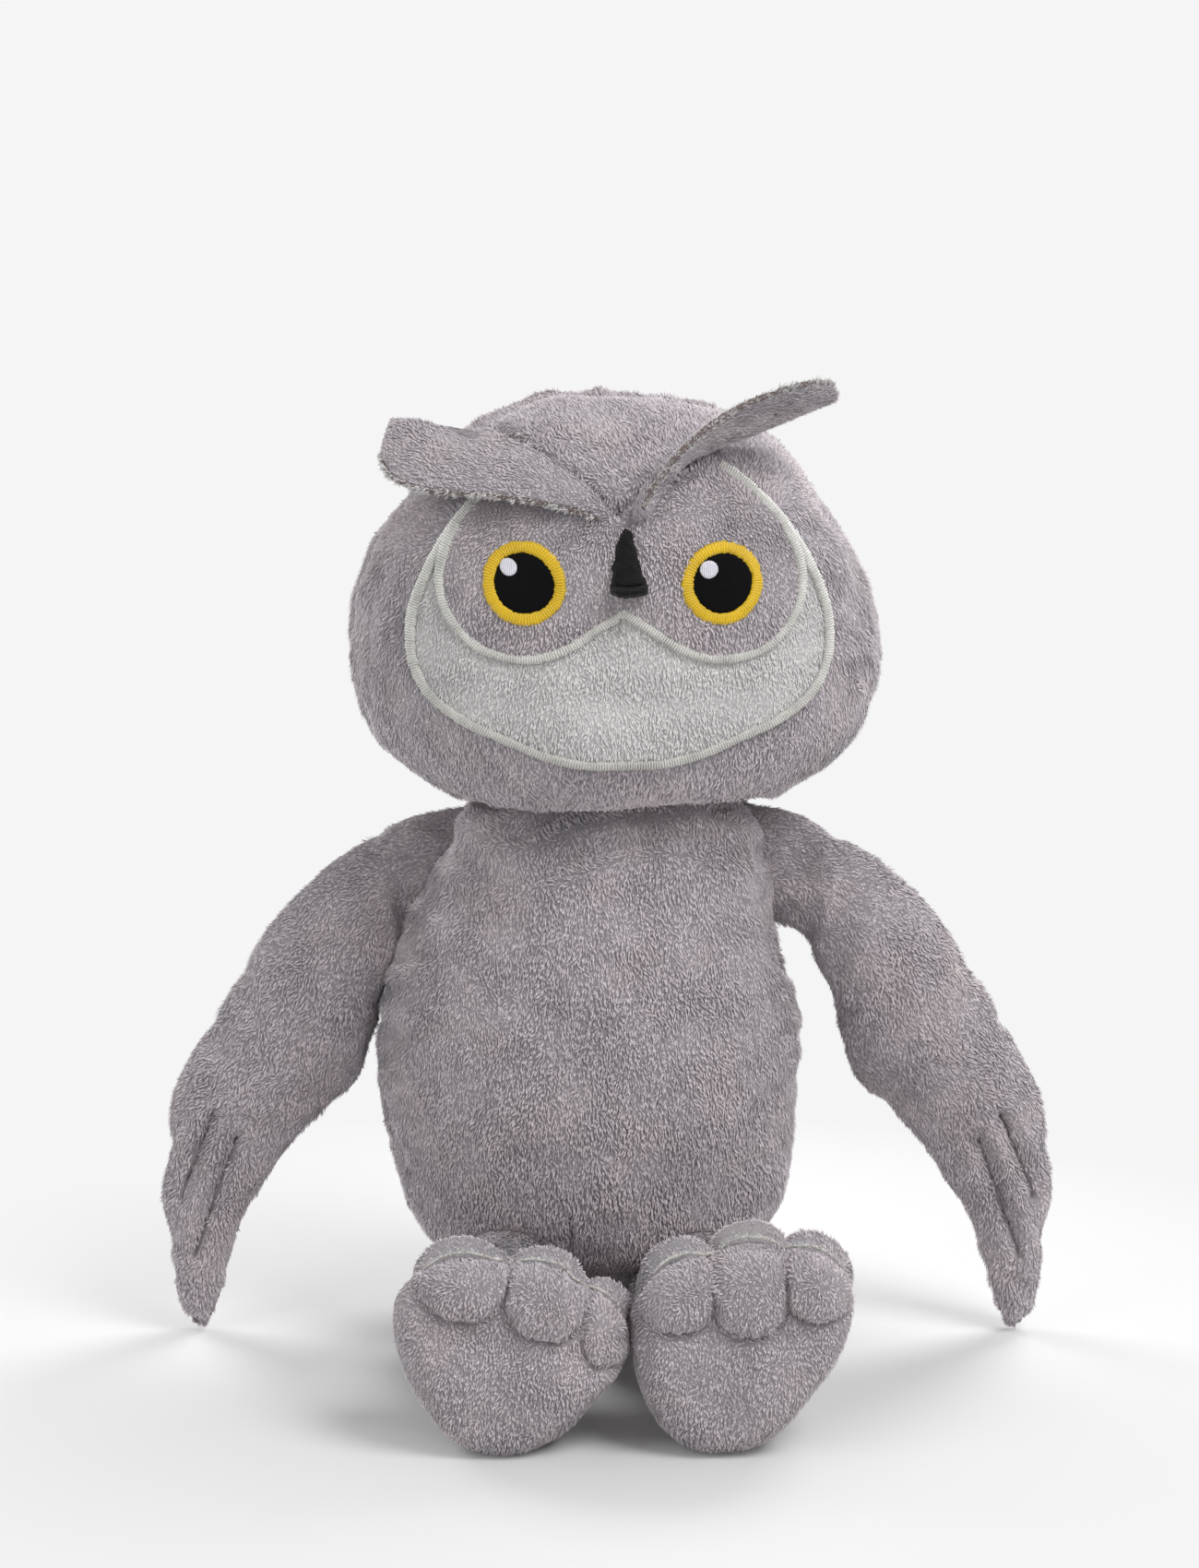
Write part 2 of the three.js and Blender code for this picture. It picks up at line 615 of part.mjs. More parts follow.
// Brow flaps. In the frame of its hinge a flap runs along x, hangs down y, and faces z. Both edges
// are shares of its length and width: the root edge follows the seam and then leaves it for the tip.
const BROW_ROOT_SHARES = [
  [0.015, -0.01],
  [0.16, -0.05],
  [0.32, -0.05],
  [0.48, -0.05],
  [0.62, -0.02],
  [0.78, 0.13],
  [0.92, 0.27],
  [1.04, 0.42],
];
const BROW_FREE_SHARES = [
  [0.025, 0.1],
  [0.14, 0.27],
  [0.28, 0.48],
  [0.42, 0.68],
  [0.56, 0.84],
  [0.7, 0.94],
  [0.83, 0.94],
  [0.95, 0.78],
];
const BROW_SEAM_PINCH_SHARE = 0.7; // of its thickness that a flap loses at its seam
const BROW_SEAM_SHARE = 0.6; // of the flap's length that is sewn down
const BROW_SEAM_PLACE_SHARES = [0.03, 0.34, 0.66]; // start, middle and end, up the line of the seam
const RIGHT_BROW_TIP_SHARE = 0.5; // of the bend at the seam's end that the free tip keeps
const LEFT_BROW_TIP_SHARE = 1.05;
const BROW_ACROSS_SHARES = [1, 0.75, 0.2, -0.45, -1];
const BROW_CLEAR_SHARES = [0, 0.2, 0.45]; // of the lift between the two flaps, where each clears the head

// The head with all that is sewn to its face, and a gap over both.
const overFace = new THREE.Shape([...sideways(faceLine, -SATIN_WIDTH), new THREE.Vector2(0, BROW_HEIGHT)]);
const dressedHead = formOf(grown(headRings, satinLift + THREAD + GAP))
  .intersect(prism(overFace))
  .add(formOf(grown(headRings, GAP)));

function makeBrow(name, side, rest, curve, tipShare) {
  const onSeam = (share) => frontOf(headRings, side * share * BROW_SPREAD, BROW_HEIGHT + share * BROW_DROP);
  const [start, middle, end] = BROW_SEAM_PLACE_SHARES.map(onSeam);
  const along = end.point.clone().sub(start.point).normalize();
  const out = middle.normal.clone().addScaledVector(along, -middle.normal.dot(along)).normalize();
  const down = out.clone().cross(along).multiplyScalar(-side);
  const hinge = group(head, middle.point.clone().addScaledVector(out, GAP + BROW_SEAM_RISE));
  const basis = new THREE.Matrix4().makeBasis(along.clone().multiplyScalar(-side), down, out);
  const lift = (angle) => {
    hinge.quaternion.setFromRotationMatrix(basis);
    hinge.rotateX(angle);
  };
  const seamHalf = (BROW_SEAM_SHARE * BROW_LENGTH) / 2;
  const edge = (shares) =>
    new THREE.CatmullRomCurve3(
      shares.map(([u, v]) => {
        const x = u * BROW_LENGTH - seamHalf;
        const bent = THREE.MathUtils.clamp(x, -seamHalf, seamHalf);
        const fall = ((bent * bent) / 2 + (x - bent) * bent * tipShare) / curve;
        return new THREE.Vector3(-side * x, v * BROW_WIDTH, -fall - v * v * BROW_CURL);
      }),
    );
  const nearHead = BROW_CLEAR_SHARES.map((share) => {
    lift(THREE.MathUtils.lerp(RIGHT_BROW_LIFT, LEFT_BROW_LIFT, share));
    return solidOf(geometryOf(dressedHead).applyMatrix4(between(head, hinge)));
  });
  lift(rest);
  const layerHalf = (BROW_THICKNESS - GAP) / 4;
  for (const [layer, face] of [
    ["top", 1],
    ["under", -1],
  ]) {
    const cloth = leaf({
      edge: edge(BROW_ROOT_SHARES),
      otherEdge: edge(BROW_FREE_SHARES),
      facing: new THREE.Vector3(0, 0, 1),
      acrossShares: BROW_ACROSS_SHARES,
      halfThickness: (along, across) => layerHalf * (1 - BROW_SEAM_PINCH_SHARE * Math.max(across, 0)),
      ringCount: 10,
      raised: (face * (BROW_THICKNESS + GAP)) / 4,
    });
    const clear = nearHead.reduce((left, taken) => left.subtract(taken), formOf(cloth));
    add(hinge, `${name}_${layer}_layer`, clear, GREY_PLUSH);
  }
}
makeBrow("right_brow", -1, RIGHT_BROW_LIFT, RIGHT_BROW_CURVE, RIGHT_BROW_TIP_SHARE);
makeBrow("left_brow", 1, LEFT_BROW_LIFT, LEFT_BROW_CURVE, LEFT_BROW_TIP_SHARE);

// Wings. Leading and trailing edges from the shoulder seam to the tip, as shares of span and drop.

const WING_LEADING_SHARES = [
  [0.012, 0.996],
  [0.175, 0.972],
  [0.31, 0.93],
  [0.43, 0.888],
  [0.55, 0.83],
  [0.655, 0.76],
  [0.75, 0.672],
  [0.84, 0.585],
  [0.92, 0.503],
  [0.968, 0.436],
  [0.985, 0.354],
  [1, 0.258],
  [0.985, 0.15],
  [0.96, 0.06],
  [0.9, 0.006],
];
const WING_TRAILING_SHARES = [
  [0.15, 0.8],
  [0.205, 0.75],
  [0.245, 0.7],
  [0.28, 0.655],
  [0.305, 0.605],
  [0.33, 0.55],
  [0.36, 0.497],
  [0.4, 0.462],
  [0.5, 0.41],
  [0.6, 0.345],
  [0.68, 0.275],
  [0.75, 0.205],
  [0.79, 0.14],
  [0.81, 0.065],
  [0.84, 0.012],
];
const WING_THICKNESS_SHARES = [
  ...[0.16, 0.55, 0.8, 0.94, 1, 1, 0.94, 0.84, 0.74],
  ...[0.66, 0.6, 0.54, 0.44, 0.28],
];
const FEATHER_LINE_SHARES = [-0.34, 0.34]; // across the wing, from its leading edge
const FEATHER_LINE_WIDTH_SHARE = 0.14;
const FEATHERS_START_SHARES = [0.6, 0.68]; // of the wing's length, where the lines deepen
const FEATHERS_END_SHARES = [0.9, 0.99]; // and where they fade
const FEATHER_LEAST_SHARE = 0.33; // of the wing's thickness that is left in a line
const WING_ACROSS_SHARES = [1, 0.88, 0.55, 0.34, 0.16, 0, -0.16, -0.34, -0.55, -0.88, -1];
const WING_INNER_ACROSS_SHARES = [1, 0.6, 0.34, 0, -0.34, -0.6, -1];

function wingHalfThickness(along, across) {
  const [full] = smoothRow(WING_THICKNESS_SHARES.map((share) => [share]), along);
  const starting = THREE.MathUtils.smoothstep(along, ...FEATHERS_START_SHARES);
  const ending = 1 - THREE.MathUtils.smoothstep(along, ...FEATHERS_END_SHARES);
  const near = (line) => Math.exp(-(((across - line) / FEATHER_LINE_WIDTH_SHARE) ** 2));
  const sewn = Math.max(...FEATHER_LINE_SHARES.map(near)) * starting * ending;
  const half = (full * WING_THICKNESS) / 2;
  return Math.max(half - FEATHER_GROOVE_DEPTH * sewn, half * FEATHER_LEAST_SHARE);
}

function makeWing(name, side) {
  const shoulder = new THREE.Vector3(side * SHOULDER_HALF_WIDTH + NECK_LEAN, 0, SHOULDER_HEIGHT);
  // The hinge group's z axis is the line that the wing swings about.
  const hinge = group(owl, shoulder.clone().setX(shoulder.x + side * SHOULDER_HINGE_OUT));
  hinge.rotation.y = -side * SHOULDER_HINGE_TILT;
  const wing = group(hinge);
  wing.rotation.y = -hinge.rotation.y;
  const edge = (shares) =>
    new THREE.CatmullRomCurve3(
      shares.map(([out, up]) => {
        return new THREE.Vector3(side * (out * WING_SPAN - SHOULDER_HINGE_OUT), 0, (up - 1) * WING_DROP);
      }),
    );
  const rings = (inset, ringCount, acrossShares) =>
    leaf({
      edge: edge(WING_LEADING_SHARES),
      otherEdge: edge(WING_TRAILING_SHARES),
      facing: new THREE.Vector3(0, 1, 0),
      acrossShares,
      halfThickness: wingHalfThickness,
      ringCount,
      inset,
    });
  const inner = (inset) => rings(inset, 7, WING_INNER_ACROSS_SHARES).slice(1, -1);
  const axis = new THREE.Vector3(0, 0, -side).applyQuaternion(hinge.quaternion);
  const nearBody = sweptBy(bodyRings, owl, wing, axis, WING_SWING, 4);
  const cover = formOf(rings(0, 13, WING_ACROSS_SHARES)).subtract(formOf(inner(CLOTH))).subtract(nearBody);
  add(wing, `${name}_front_panel`, cover.intersect(shortOf("y", -GAP / 2)), GREY_PLUSH);
  add(wing, `${name}_back_panel`, cover.intersect(beyond("y", GAP / 2)), GREY_PLUSH);
  add(wing, `${name}_filling`, formOf(inner(CLOTH + GAP)).subtract(nearBody), WHITE_FILLING);
}
makeWing("right_wing", -1);
makeWing("left_wing", 1);

// Legs, lying forwards. Rows: length, half width, depth below the hip seam and rise above it.

const LEG_SHARES = [
  [0, 0.86, 0.06, 0.06],
  [0.1, 0.93, 0.32, 0.4],
  [0.24, 0.99, 0.46, 0.74],
  [0.42, 1, 0.49, 0.98],
  [0.6, 0.98, 0.47, 1],
  [0.8, 0.9, 0.4, 0.93],
  [1, 0.8, 0.32, 0.76],
];
const lyingForward = new THREE.Matrix4().makeBasis(
  new THREE.Vector3(1, 0, 0),
  new THREE.Vector3(0, 0, 1),
  new THREE.Vector3(0, -1, 0),
);

function makeLeg(name, side, lean) {
  const hinge = group(owl, new THREE.Vector3((side * HIP_SPACING) / 2, -HIP_FORWARD, HIP_HEIGHT));
  const size = { halfWidth: LEG_HALF_WIDTH, halfDepth: LEG_RISE, height: LEG_LENGTH };
  const slanting = new THREE.Matrix4().makeShear(0, 0, lean / LEG_LENGTH, 0, 0, 0);
  const rings = placed(standing(LEG_SHARES, size, 6, 14), lyingForward.clone().multiply(slanting));
  const inner = coarser(rings).slice(1);
  const ankle = new THREE.Vector3(lean, -LEG_LENGTH, ANKLE_HEIGHT - HIP_HEIGHT);
  const hole = new THREE.CylinderGeometry(ANKLE_HOLE_RADIUS, ANKLE_HOLE_RADIUS, 2 * ANKLE_RADIUS, 10);
  hole.translate(ankle.x, ankle.y - ANKLE_RADIUS, ankle.z);
  const nearBody = sweptBy(bodyRings, owl, hinge, new THREE.Vector3(1, 0, 0), LEG_SWING, 4);
  const cover = formOf(rings)
    .add(ball(ANKLE_RADIUS, ankle, 16, 10))
    .subtract(formOf(grown(inner, -CLOTH)).add(ball(ANKLE_RADIUS - CLOTH, ankle, 10, 6)))
    .subtract(solidOf(hole));
  const filling = formOf(grown(inner, -CLOTH - GAP)).add(ball(ANKLE_RADIUS - CLOTH - GAP, ankle, 10, 6));
  add(hinge, `${name}_cover`, cover.subtract(nearBody), GREY_PLUSH);
  add(hinge, `${name}_filling`, filling.subtract(nearBody), WHITE_FILLING);
  return group(hinge, ankle);
}

// Feet, standing on their heels. The left foot's outline runs from the heel up its outer side, round
// three toes and down its inner side, as shares of half width and half height.
const FOOT_SHARES = [
  [-0.33, -1],
  [0.05, -0.95],
  [0.42, -0.68],
  [0.72, -0.35],
  [0.92, 0],
  [1, 0.35],
  [0.97, 0.62],
  [0.82, 0.84],
  [0.6, 0.91],
  [0.4, 0.87],
  [0.24, 0.96],
  [0.04, 1],
  [-0.18, 0.93],
  [-0.33, 0.79],
  [-0.52, 0.76],
  [-0.74, 0.65],
  [-0.91, 0.44],
  [-1, 0.15],
  [-0.98, -0.12],
  [-0.9, -0.42],
  [-0.76, -0.7],
  [-0.55, -0.92],
];
const UPPER_SCALE_SHARES = [0.3, 0.62, 0.86, 0.97];
const SOLE_SCALE_SHARES = [1, 0.96, 0.86, 0.7, 0.5, 0.25];
const TOE_LINE_SHARES = [-0.36, 0.44]; // of the half width: the creases that part the toes
const TOE_BASE_SHARE = 0.05; // of the half height: the crease under the toes
const TOE_BASE_RISE_SHARE = 0.12; // of that crease at both sides
const TOES_START_SHARES = [-0.05, 0.15]; // of the half height, where the toes part
const CREASE_LEAST_SHARE = 0.5; // of the thickness that is left in a crease
const CREASE_WIDTH_SHARE = 0.14;
const FOOT_HEART_SHARE = -0.35; // of the half height: where the smooth heel is fullest

// The sole is creased under the toes and between them. The upper is smooth.
function footHeight(size, scale, face, place) {
  const crowned = (FOOT_THICKNESS / 2) * Math.sqrt(1 - scale ** 4);
  if (face < 0) return crowned;
  const near = (offset) => Math.exp(-((offset / CREASE_WIDTH_SHARE) ** 2));
  const [across, up] = [(size.side * place.x) / size.halfWidth, place.y / size.halfHeight];
  const toes = THREE.MathUtils.smoothstep(up, ...TOES_START_SHARES);
  const lines = Math.max(...TOE_LINE_SHARES.map((line) => near(across - line))) * toes;
  const base = near(up - TOE_BASE_SHARE - TOE_BASE_RISE_SHARE * across * across);
  return Math.max(crowned - TOE_CREASE_DEPTH * Math.max(lines, base), crowned * CREASE_LEAST_SHARE);
}

function makeFoot(name, ankle, size, roll) {
  const turned = group(ankle);
  turned.rotation.y = roll;
  const curve = new THREE.SplineCurve(
    [...FOOT_SHARES, FOOT_SHARES[0]].map(([x, z]) => {
      return new THREE.Vector2(size.side * x * size.halfWidth, z * size.halfHeight);
    }),
  );
  const outline = curve.getPoints(24).slice(0, -1);
  const heart = new THREE.Vector2(0, FOOT_HEART_SHARE * size.halfHeight);
  const before = -ANKLE_INSET - FOOT_THICKNESS / 2;
  const flat = placed(
    pillow(outline, heart, UPPER_SCALE_SHARES, SOLE_SCALE_SHARES, (...at) => footHeight(size, ...at)),
    new THREE.Matrix4().makeTranslation(size.sideOffset, before, 0),
  );
  const lowest = Math.min(...placed(flat, between(turned, owl)).flat().map((p) => p.z));
  const rise = (-SEAT_TRIM - lowest) / Math.cos(roll);
  const rings = placed(flat, new THREE.Matrix4().makeTranslation(0, 0, rise));
  const inner = coarser(rings);
  const floor = halfSpace("z", 0, -1, between(owl, turned));
  const seat = roundSocket(ANKLE_RADIUS + GAP, 16, 10);
  const cover = formOf(rings).subtract(formOf(grown(inner, -CLOTH))).subtract(seat).subtract(floor);
  add(turned, `${name}_sole_panel`, cover.intersect(shortOf("y", before - GAP / 2)), GREY_PLUSH);
  add(turned, `${name}_upper_panel`, cover.intersect(beyond("y", before + GAP / 2)), GREY_PLUSH);
  add(turned, `${name}_filling`, formOf(grown(inner, -CLOTH - GAP)).subtract(seat), WHITE_FILLING);
}
const leftFootSize = {
  side: 1,
  halfWidth: LEFT_FOOT_HALF_WIDTH,
  halfHeight: LEFT_FOOT_HALF_HEIGHT,
  sideOffset: FOOT_SIDE_OFFSET,
};
const rightFootSize = {
  side: -1,
  halfWidth: RIGHT_FOOT_HALF_WIDTH,
  halfHeight: RIGHT_FOOT_HALF_HEIGHT,
  sideOffset: -FOOT_SIDE_OFFSET,
};
makeFoot("right_foot", makeLeg("right_leg", -1, RIGHT_LEG_LEAN), rightFootSize, RIGHT_FOOT_ROLL);
makeFoot("left_foot", makeLeg("left_leg", 1, LEFT_LEG_LEAN), leftFootSize, 0);

export default owl;
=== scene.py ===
import functools
import json
import math

import bpy
import numpy as np
from mathutils import Matrix, Vector
from mathutils.bvhtree import BVHTree


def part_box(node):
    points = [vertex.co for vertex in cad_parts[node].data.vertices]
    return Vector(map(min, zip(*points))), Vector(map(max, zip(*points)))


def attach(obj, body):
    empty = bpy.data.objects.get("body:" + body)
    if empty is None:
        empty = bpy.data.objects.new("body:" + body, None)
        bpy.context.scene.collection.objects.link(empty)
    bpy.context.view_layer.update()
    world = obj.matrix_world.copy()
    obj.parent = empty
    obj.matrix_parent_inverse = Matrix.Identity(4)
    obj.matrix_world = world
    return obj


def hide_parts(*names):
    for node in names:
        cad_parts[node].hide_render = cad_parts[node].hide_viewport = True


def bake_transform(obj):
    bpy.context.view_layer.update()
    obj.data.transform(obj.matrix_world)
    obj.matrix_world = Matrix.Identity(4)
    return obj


bl_info = {
    "name": "Plush Owl",
    "version": (1, 0, 0),
    "blender": (4, 5, 0),
    "location": "View3D > Sidebar > Owl",
    "description": "Dresses a jointed owl in sewn plush, embroidery and pile",
    "category": "Object",
}

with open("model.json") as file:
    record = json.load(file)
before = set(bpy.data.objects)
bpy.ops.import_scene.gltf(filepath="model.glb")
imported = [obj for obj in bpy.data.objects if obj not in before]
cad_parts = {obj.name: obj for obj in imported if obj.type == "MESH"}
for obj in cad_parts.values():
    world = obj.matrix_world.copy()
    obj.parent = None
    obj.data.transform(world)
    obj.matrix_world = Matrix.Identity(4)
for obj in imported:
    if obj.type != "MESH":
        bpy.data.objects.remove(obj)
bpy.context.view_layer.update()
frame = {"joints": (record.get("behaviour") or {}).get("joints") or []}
MM = 0.001
JOINTS = {joint["name"]: joint for joint in frame["joints"]}

# The cloth simulation that blows the covers up.
CLOTH_MASS = 0.004
CLOTH_PRESSURE = 4.0
CLOTH_SLACK = -0.03
CLOTH_STEPS = 20

# Sizes of the sewn forms, in millimetres. Most are the solids' own, and a few follow the photograph closer.
NECK = np.array(JOINTS["head_nod"]["pos_m"]) / MM
BODY_SIZE = (57.5, 49.0, 154.0)
HEAD_SIZE = (72.5, 54.0, 113.0)
HEAD_PLACE = np.array([2.0, 0.0, 19.0])
HEAD_TURN = math.radians(3)
LEAN_SHARES = (0.65, 1.05)
SATIN_WIDTH = 2.6
BROW_POINT = 101.0
BROW_SPREAD = 45.0
BROW_DROP = 31.0
BROW_SEAM_SHARES = (0.03, 0.34, 0.66)
BROW_SEAM_RISE = 2.4
BROW_SEWN_SHARE = 0.6
BROW_SIZE = (73.0, 29.0, 4.6)
BROW_CURL = 3.0
BROWS = {
    "right_brow": {"side": -1, "lift": math.radians(12), "curve": 66.0, "tip": 0.5, "reach": 1.0},
    "left_brow": {"side": 1, "lift": math.radians(86), "curve": 48.0, "tip": 1.05, "reach": 0.69},
}
WING_SPAN = 88.0
WING_DROP = 153.0
WING_THICKNESS = 25.0
SHOULDER = (38.0, 154.0)
LEG_SIZE = (19.5, 28.0, 47.0)
FOOT_THICKNESS = 29.0

# Rings along each cover, and corners round each ring.
BODY_GRID = (190, 260)
HEAD_GRID = (210, 300)
BROW_GRID = (120, 80)
WING_GRID = (210, 128)
LEG_GRID = (90, 130)
BEAK_GRID = (90, 72)
FOOT_AROUND = 240
UPPER_RINGS = 24
SOLE_RINGS = 56

# Rows of the forms: height, half width, front and back, as shares of the form's size.

BODY_ROWS = [
    (0.0, 0.44, 0.34, 0.56),
    (0.008, 0.56, 0.42, 0.7),
    (0.05, 0.6, 0.48, 0.84),
    (0.13, 0.68, 0.58, 0.93),
    (0.185, 0.76, 0.74, 0.97),
    (0.23, 0.85, 0.88, 0.99),
    (0.29, 0.92, 0.955, 1.01),
    (0.37, 0.97, 0.99, 1.03),
    (0.51, 1.0, 1.0, 1.0),
    (0.64, 0.98, 0.97, 0.95),
    (0.775, 0.9, 0.91, 0.9),
    (0.89, 0.8, 0.84, 0.83),
    (0.965, 0.71, 0.77, 0.74),
    (1.01, 0.63, 0.72, 0.72),
    (1.06, 0.52, 0.61, 0.61),
    (1.11, 0.38, 0.45, 0.45),
    (1.15, 0.12, 0.14, 0.14),
]
HEAD_ROWS = [
    (0.0, 0.4, 0.5, 0.5),
    (0.012, 0.6, 0.76, 0.74),
    (0.045, 0.7, 0.86, 0.82),
    (0.11, 0.83, 0.95, 0.91),
    (0.19, 0.94, 1.0, 0.97),
    (0.29, 1.0, 1.02, 1.0),
    (0.4, 1.0, 1.02, 1.02),
    (0.52, 0.96, 1.0, 1.0),
    (0.64, 0.88, 0.95, 0.96),
    (0.75, 0.765, 0.84, 0.88),
    (0.85, 0.625, 0.69, 0.74),
    (0.925, 0.475, 0.52, 0.57),
    (0.975, 0.29, 0.32, 0.35),
    (1.0, 0.06, 0.07, 0.07),
]
# Half outlines from the middle outwards, as shares of the half width and the height.
FACE_HALF = [
    (0, 0), (0.2, 0.004), (0.38, 0.035), (0.56, 0.085), (0.74, 0.14), (0.9, 0.225), (0.985, 0.33),
    (1, 0.43), (0.975, 0.535), (0.91, 0.65), (0.82, 0.76), (0.71, 0.86), (0.585, 0.945), (0.47, 1),
]
MASK_HALF = [
    (0, 0.255), (0.15, 0.16), (0.3, 0.068), (0.46, 0.012), (0.62, 0.008), (0.775, 0.05), (0.9, 0.15),
    (0.98, 0.28), (1, 0.42), (0.965, 0.56), (0.9, 0.69),
]
FACE_SIZE = (56.0, 35.0, 78.0)
MASK_SIZE = (48.0, 63.0, 50.0)
FACE_SHIFT = 1.4
EYE_SPACING = 51.8
EYE_HEIGHT = 83.0
EYE_RADIUS = 10.6
PUPIL_RADIUS = 7.9
GLINT_RADIUS = 2.3
GLINT_OFFSET = 5.4
BEAK_TOP = 98.0
BEAK_SHIFT = 2.0
BEAK_SIZE = (4.8, 6.0, 18.0)
# Edges of a wing from the shoulder to its tip, as shares of its span and drop.
WING_LEADING = [
    (0, 1), (0.175, 0.972), (0.31, 0.93), (0.43, 0.888), (0.55, 0.83), (0.655, 0.76), (0.75, 0.672),
    (0.84, 0.585), (0.92, 0.503), (0.968, 0.436), (0.985, 0.354), (1, 0.258), (0.985, 0.15),
    (0.965, 0.06), (0.93, 0.002),
]
WING_TRAILING = [
    (0.0, 0.8), (0.205, 0.745), (0.245, 0.7), (0.28, 0.655), (0.305, 0.605), (0.33, 0.55), (0.36, 0.497),
    (0.4, 0.462), (0.5, 0.41), (0.6, 0.345), (0.68, 0.275), (0.75, 0.205), (0.79, 0.14),
    (0.83, 0.06), (0.86, 0.0),
]
WING_FULLNESS = [0.5, 0.62, 0.8, 0.94, 1, 1, 0.94, 0.86, 0.78, 0.72, 0.68, 0.62, 0.5, 0.25]
# Sewn lines that part the feathers, as shares of the wing's span and drop.
FEATHER_LINES = [
    [(0.835, 0.42), (0.9, 0.34), (0.955, 0.26)],
    [(0.765, 0.375), (0.835, 0.26), (0.905, 0.15)],
]
LEG_ROWS = [
    (0, 0.86, 0.2, 0.2),
    (0.1, 0.93, 0.32, 0.4),
    (0.24, 0.99, 0.46, 0.74),
    (0.42, 1.0, 0.49, 0.96),
    (0.6, 0.98, 0.47, 0.94),
    (0.8, 0.9, 0.42, 0.8),
    (1, 0.8, 0.4, 0.68),
    (1.16, 0.74, 0.4, 0.66),
    (1.32, 0.66, 0.34, 0.56),
]
FOOT_OUTLINE = [
    (-0.33, -1), (0.05, -0.95), (0.42, -0.68), (0.72, -0.35), (0.92, 0), (1, 0.33), (0.95, 0.58),
    (0.8, 0.76), (0.6, 0.85), (0.4, 0.86), (0.24, 0.91), (0.04, 0.93), (-0.18, 0.89), (-0.33, 0.79),
    (-0.52, 0.76), (-0.74, 0.65), (-0.91, 0.44), (-1, 0.15), (-0.98, -0.12), (-0.9, -0.42),
    (-0.76, -0.7), (-0.55, -0.92),
]


# Numbers

def smooth_rows(rows, shares):
    """A smooth curve through the rows of a table, read at shares of the way along it."""
    rows = np.asarray(rows, float)
    rows = rows[:, None] if rows.ndim == 1 else rows
    at = np.clip(shares, 0, 1) * (len(rows) - 1)
    i = np.minimum(at.astype(int), len(rows) - 2)
    t = (at - i)[:, None]
    pad = np.vstack([rows[:1], rows, rows[-1:]])
    before, start, end, after = pad[i], pad[i + 1], pad[i + 2], pad[i + 3]
    ends = start * (2 * t**3 - 3 * t**2 + 1) + end * (3 * t**2 - 2 * t**3)
    return ends + (end - before) / 2 * (t**3 - 2 * t**2 + t) + (after - start) / 2 * (t**3 - t**2)


def smooth_loop(points, count):
    """A closed smooth curve through points, read at equal shares."""
    points = np.asarray(points, float)
    wrapped = np.vstack([points[-2:], points, points[:3]])
    steps = len(wrapped) - 1
    shares = (2 + np.arange(count) * len(points) / count) / steps
    return smooth_rows(wrapped, shares)


def smooth_step(low, high, value):
    t = np.clip((value - low) / (high - low), 0, 1)
    return t * t * (3 - 2 * t)


def unit(vectors):
    return vectors / np.maximum(np.linalg.norm(vectors, axis=-1, keepdims=True), 1e-12)


def full_turn(count):
    """Equal angles round a full turn."""
    return np.arange(count) / count * 2 * math.pi


def bell(distance, width):
    return np.exp(-((distance / width) ** 2))


def lumps(points, wavelength, seed, waves=14):
    """Soft noise of about -1 to 1: a sum of plane waves of mixed directions and lengths."""
    rng = np.random.default_rng(seed)
    total = np.zeros(len(points))
    for _ in range(waves):
        direction = unit(rng.normal(size=3))
        length = wavelength * rng.uniform(0.7, 1.5)
        total += np.sin(points @ direction * (2 * math.pi / length) + rng.uniform(0, 2 * math.pi))
    return total / math.sqrt(waves / 2)


def to_line(points, line, flat=False):
    """Each point's distance to a line of straight stretches, and how far along the line it lies."""
    points, line = np.asarray(points, float), np.asarray(line, float)
    if flat:
        points, line = points[:, [0, 2]], line[:, [0, 2]] if line.shape[1] == 3 else line
    best, along = np.full(len(points), np.inf), np.zeros(len(points))
    passed = 0.0
    for a, b in zip(line[:-1], line[1:]):
        stretch = b - a
        size = np.linalg.norm(stretch)
        t = np.clip((points - a) @ stretch / size**2, 0, 1)
        distance = np.linalg.norm(points - (a + t[:, None] * stretch), axis=1)
        nearer = distance < best
        best = np.where(nearer, distance, best)
        along = np.where(nearer, passed + t * size, along)
        passed += size
    return best, along


def inside(points, outline):
    """True for each flat point that lies inside a closed flat outline."""
    x, z = points[:, 0], points[:, 1]
    result = np.zeros(len(points), bool)
    for (x0, z0), (x1, z1) in zip(outline, np.roll(outline, -1, axis=0)):
        crosses = (z0 > z) != (z1 > z)
        with np.errstate(divide="ignore", invalid="ignore"):
            at = (x1 - x0) * (z - z0) / (z1 - z0) + x0
        result ^= crosses & (x < at)
    return result


# Meshes

def new_mesh(name, corners, *faces):
    """An object of corners in millimetres, whose faces are arrays of equal-sided polygons."""
    mesh = bpy.data.meshes.new(name)
    corners = np.ascontiguousarray(np.asarray(corners, np.float32) * MM)
    mesh.vertices.add(len(corners))
    mesh.vertices.foreach_set("co", corners.ravel())
    faces = [np.asarray(f, np.int32) for f in faces if len(f)]
    sides = np.concatenate([np.full(len(f), f.shape[1], np.int32) for f in faces])
    mesh.loops.add(int(sides.sum()))
    mesh.loops.foreach_set("vertex_index", np.concatenate([f.ravel() for f in faces]))
    mesh.polygons.add(len(sides))
    mesh.polygons.foreach_set("loop_start", np.concatenate([[0], np.cumsum(sides)[:-1]]).astype(np.int32))
    mesh.polygons.foreach_set("use_smooth", np.ones(len(sides), bool))
    mesh.update(calc_edges=True)
    mesh.validate()
    obj = bpy.data.objects.new(name, mesh)
    bpy.context.scene.collection.objects.link(obj)
    return obj


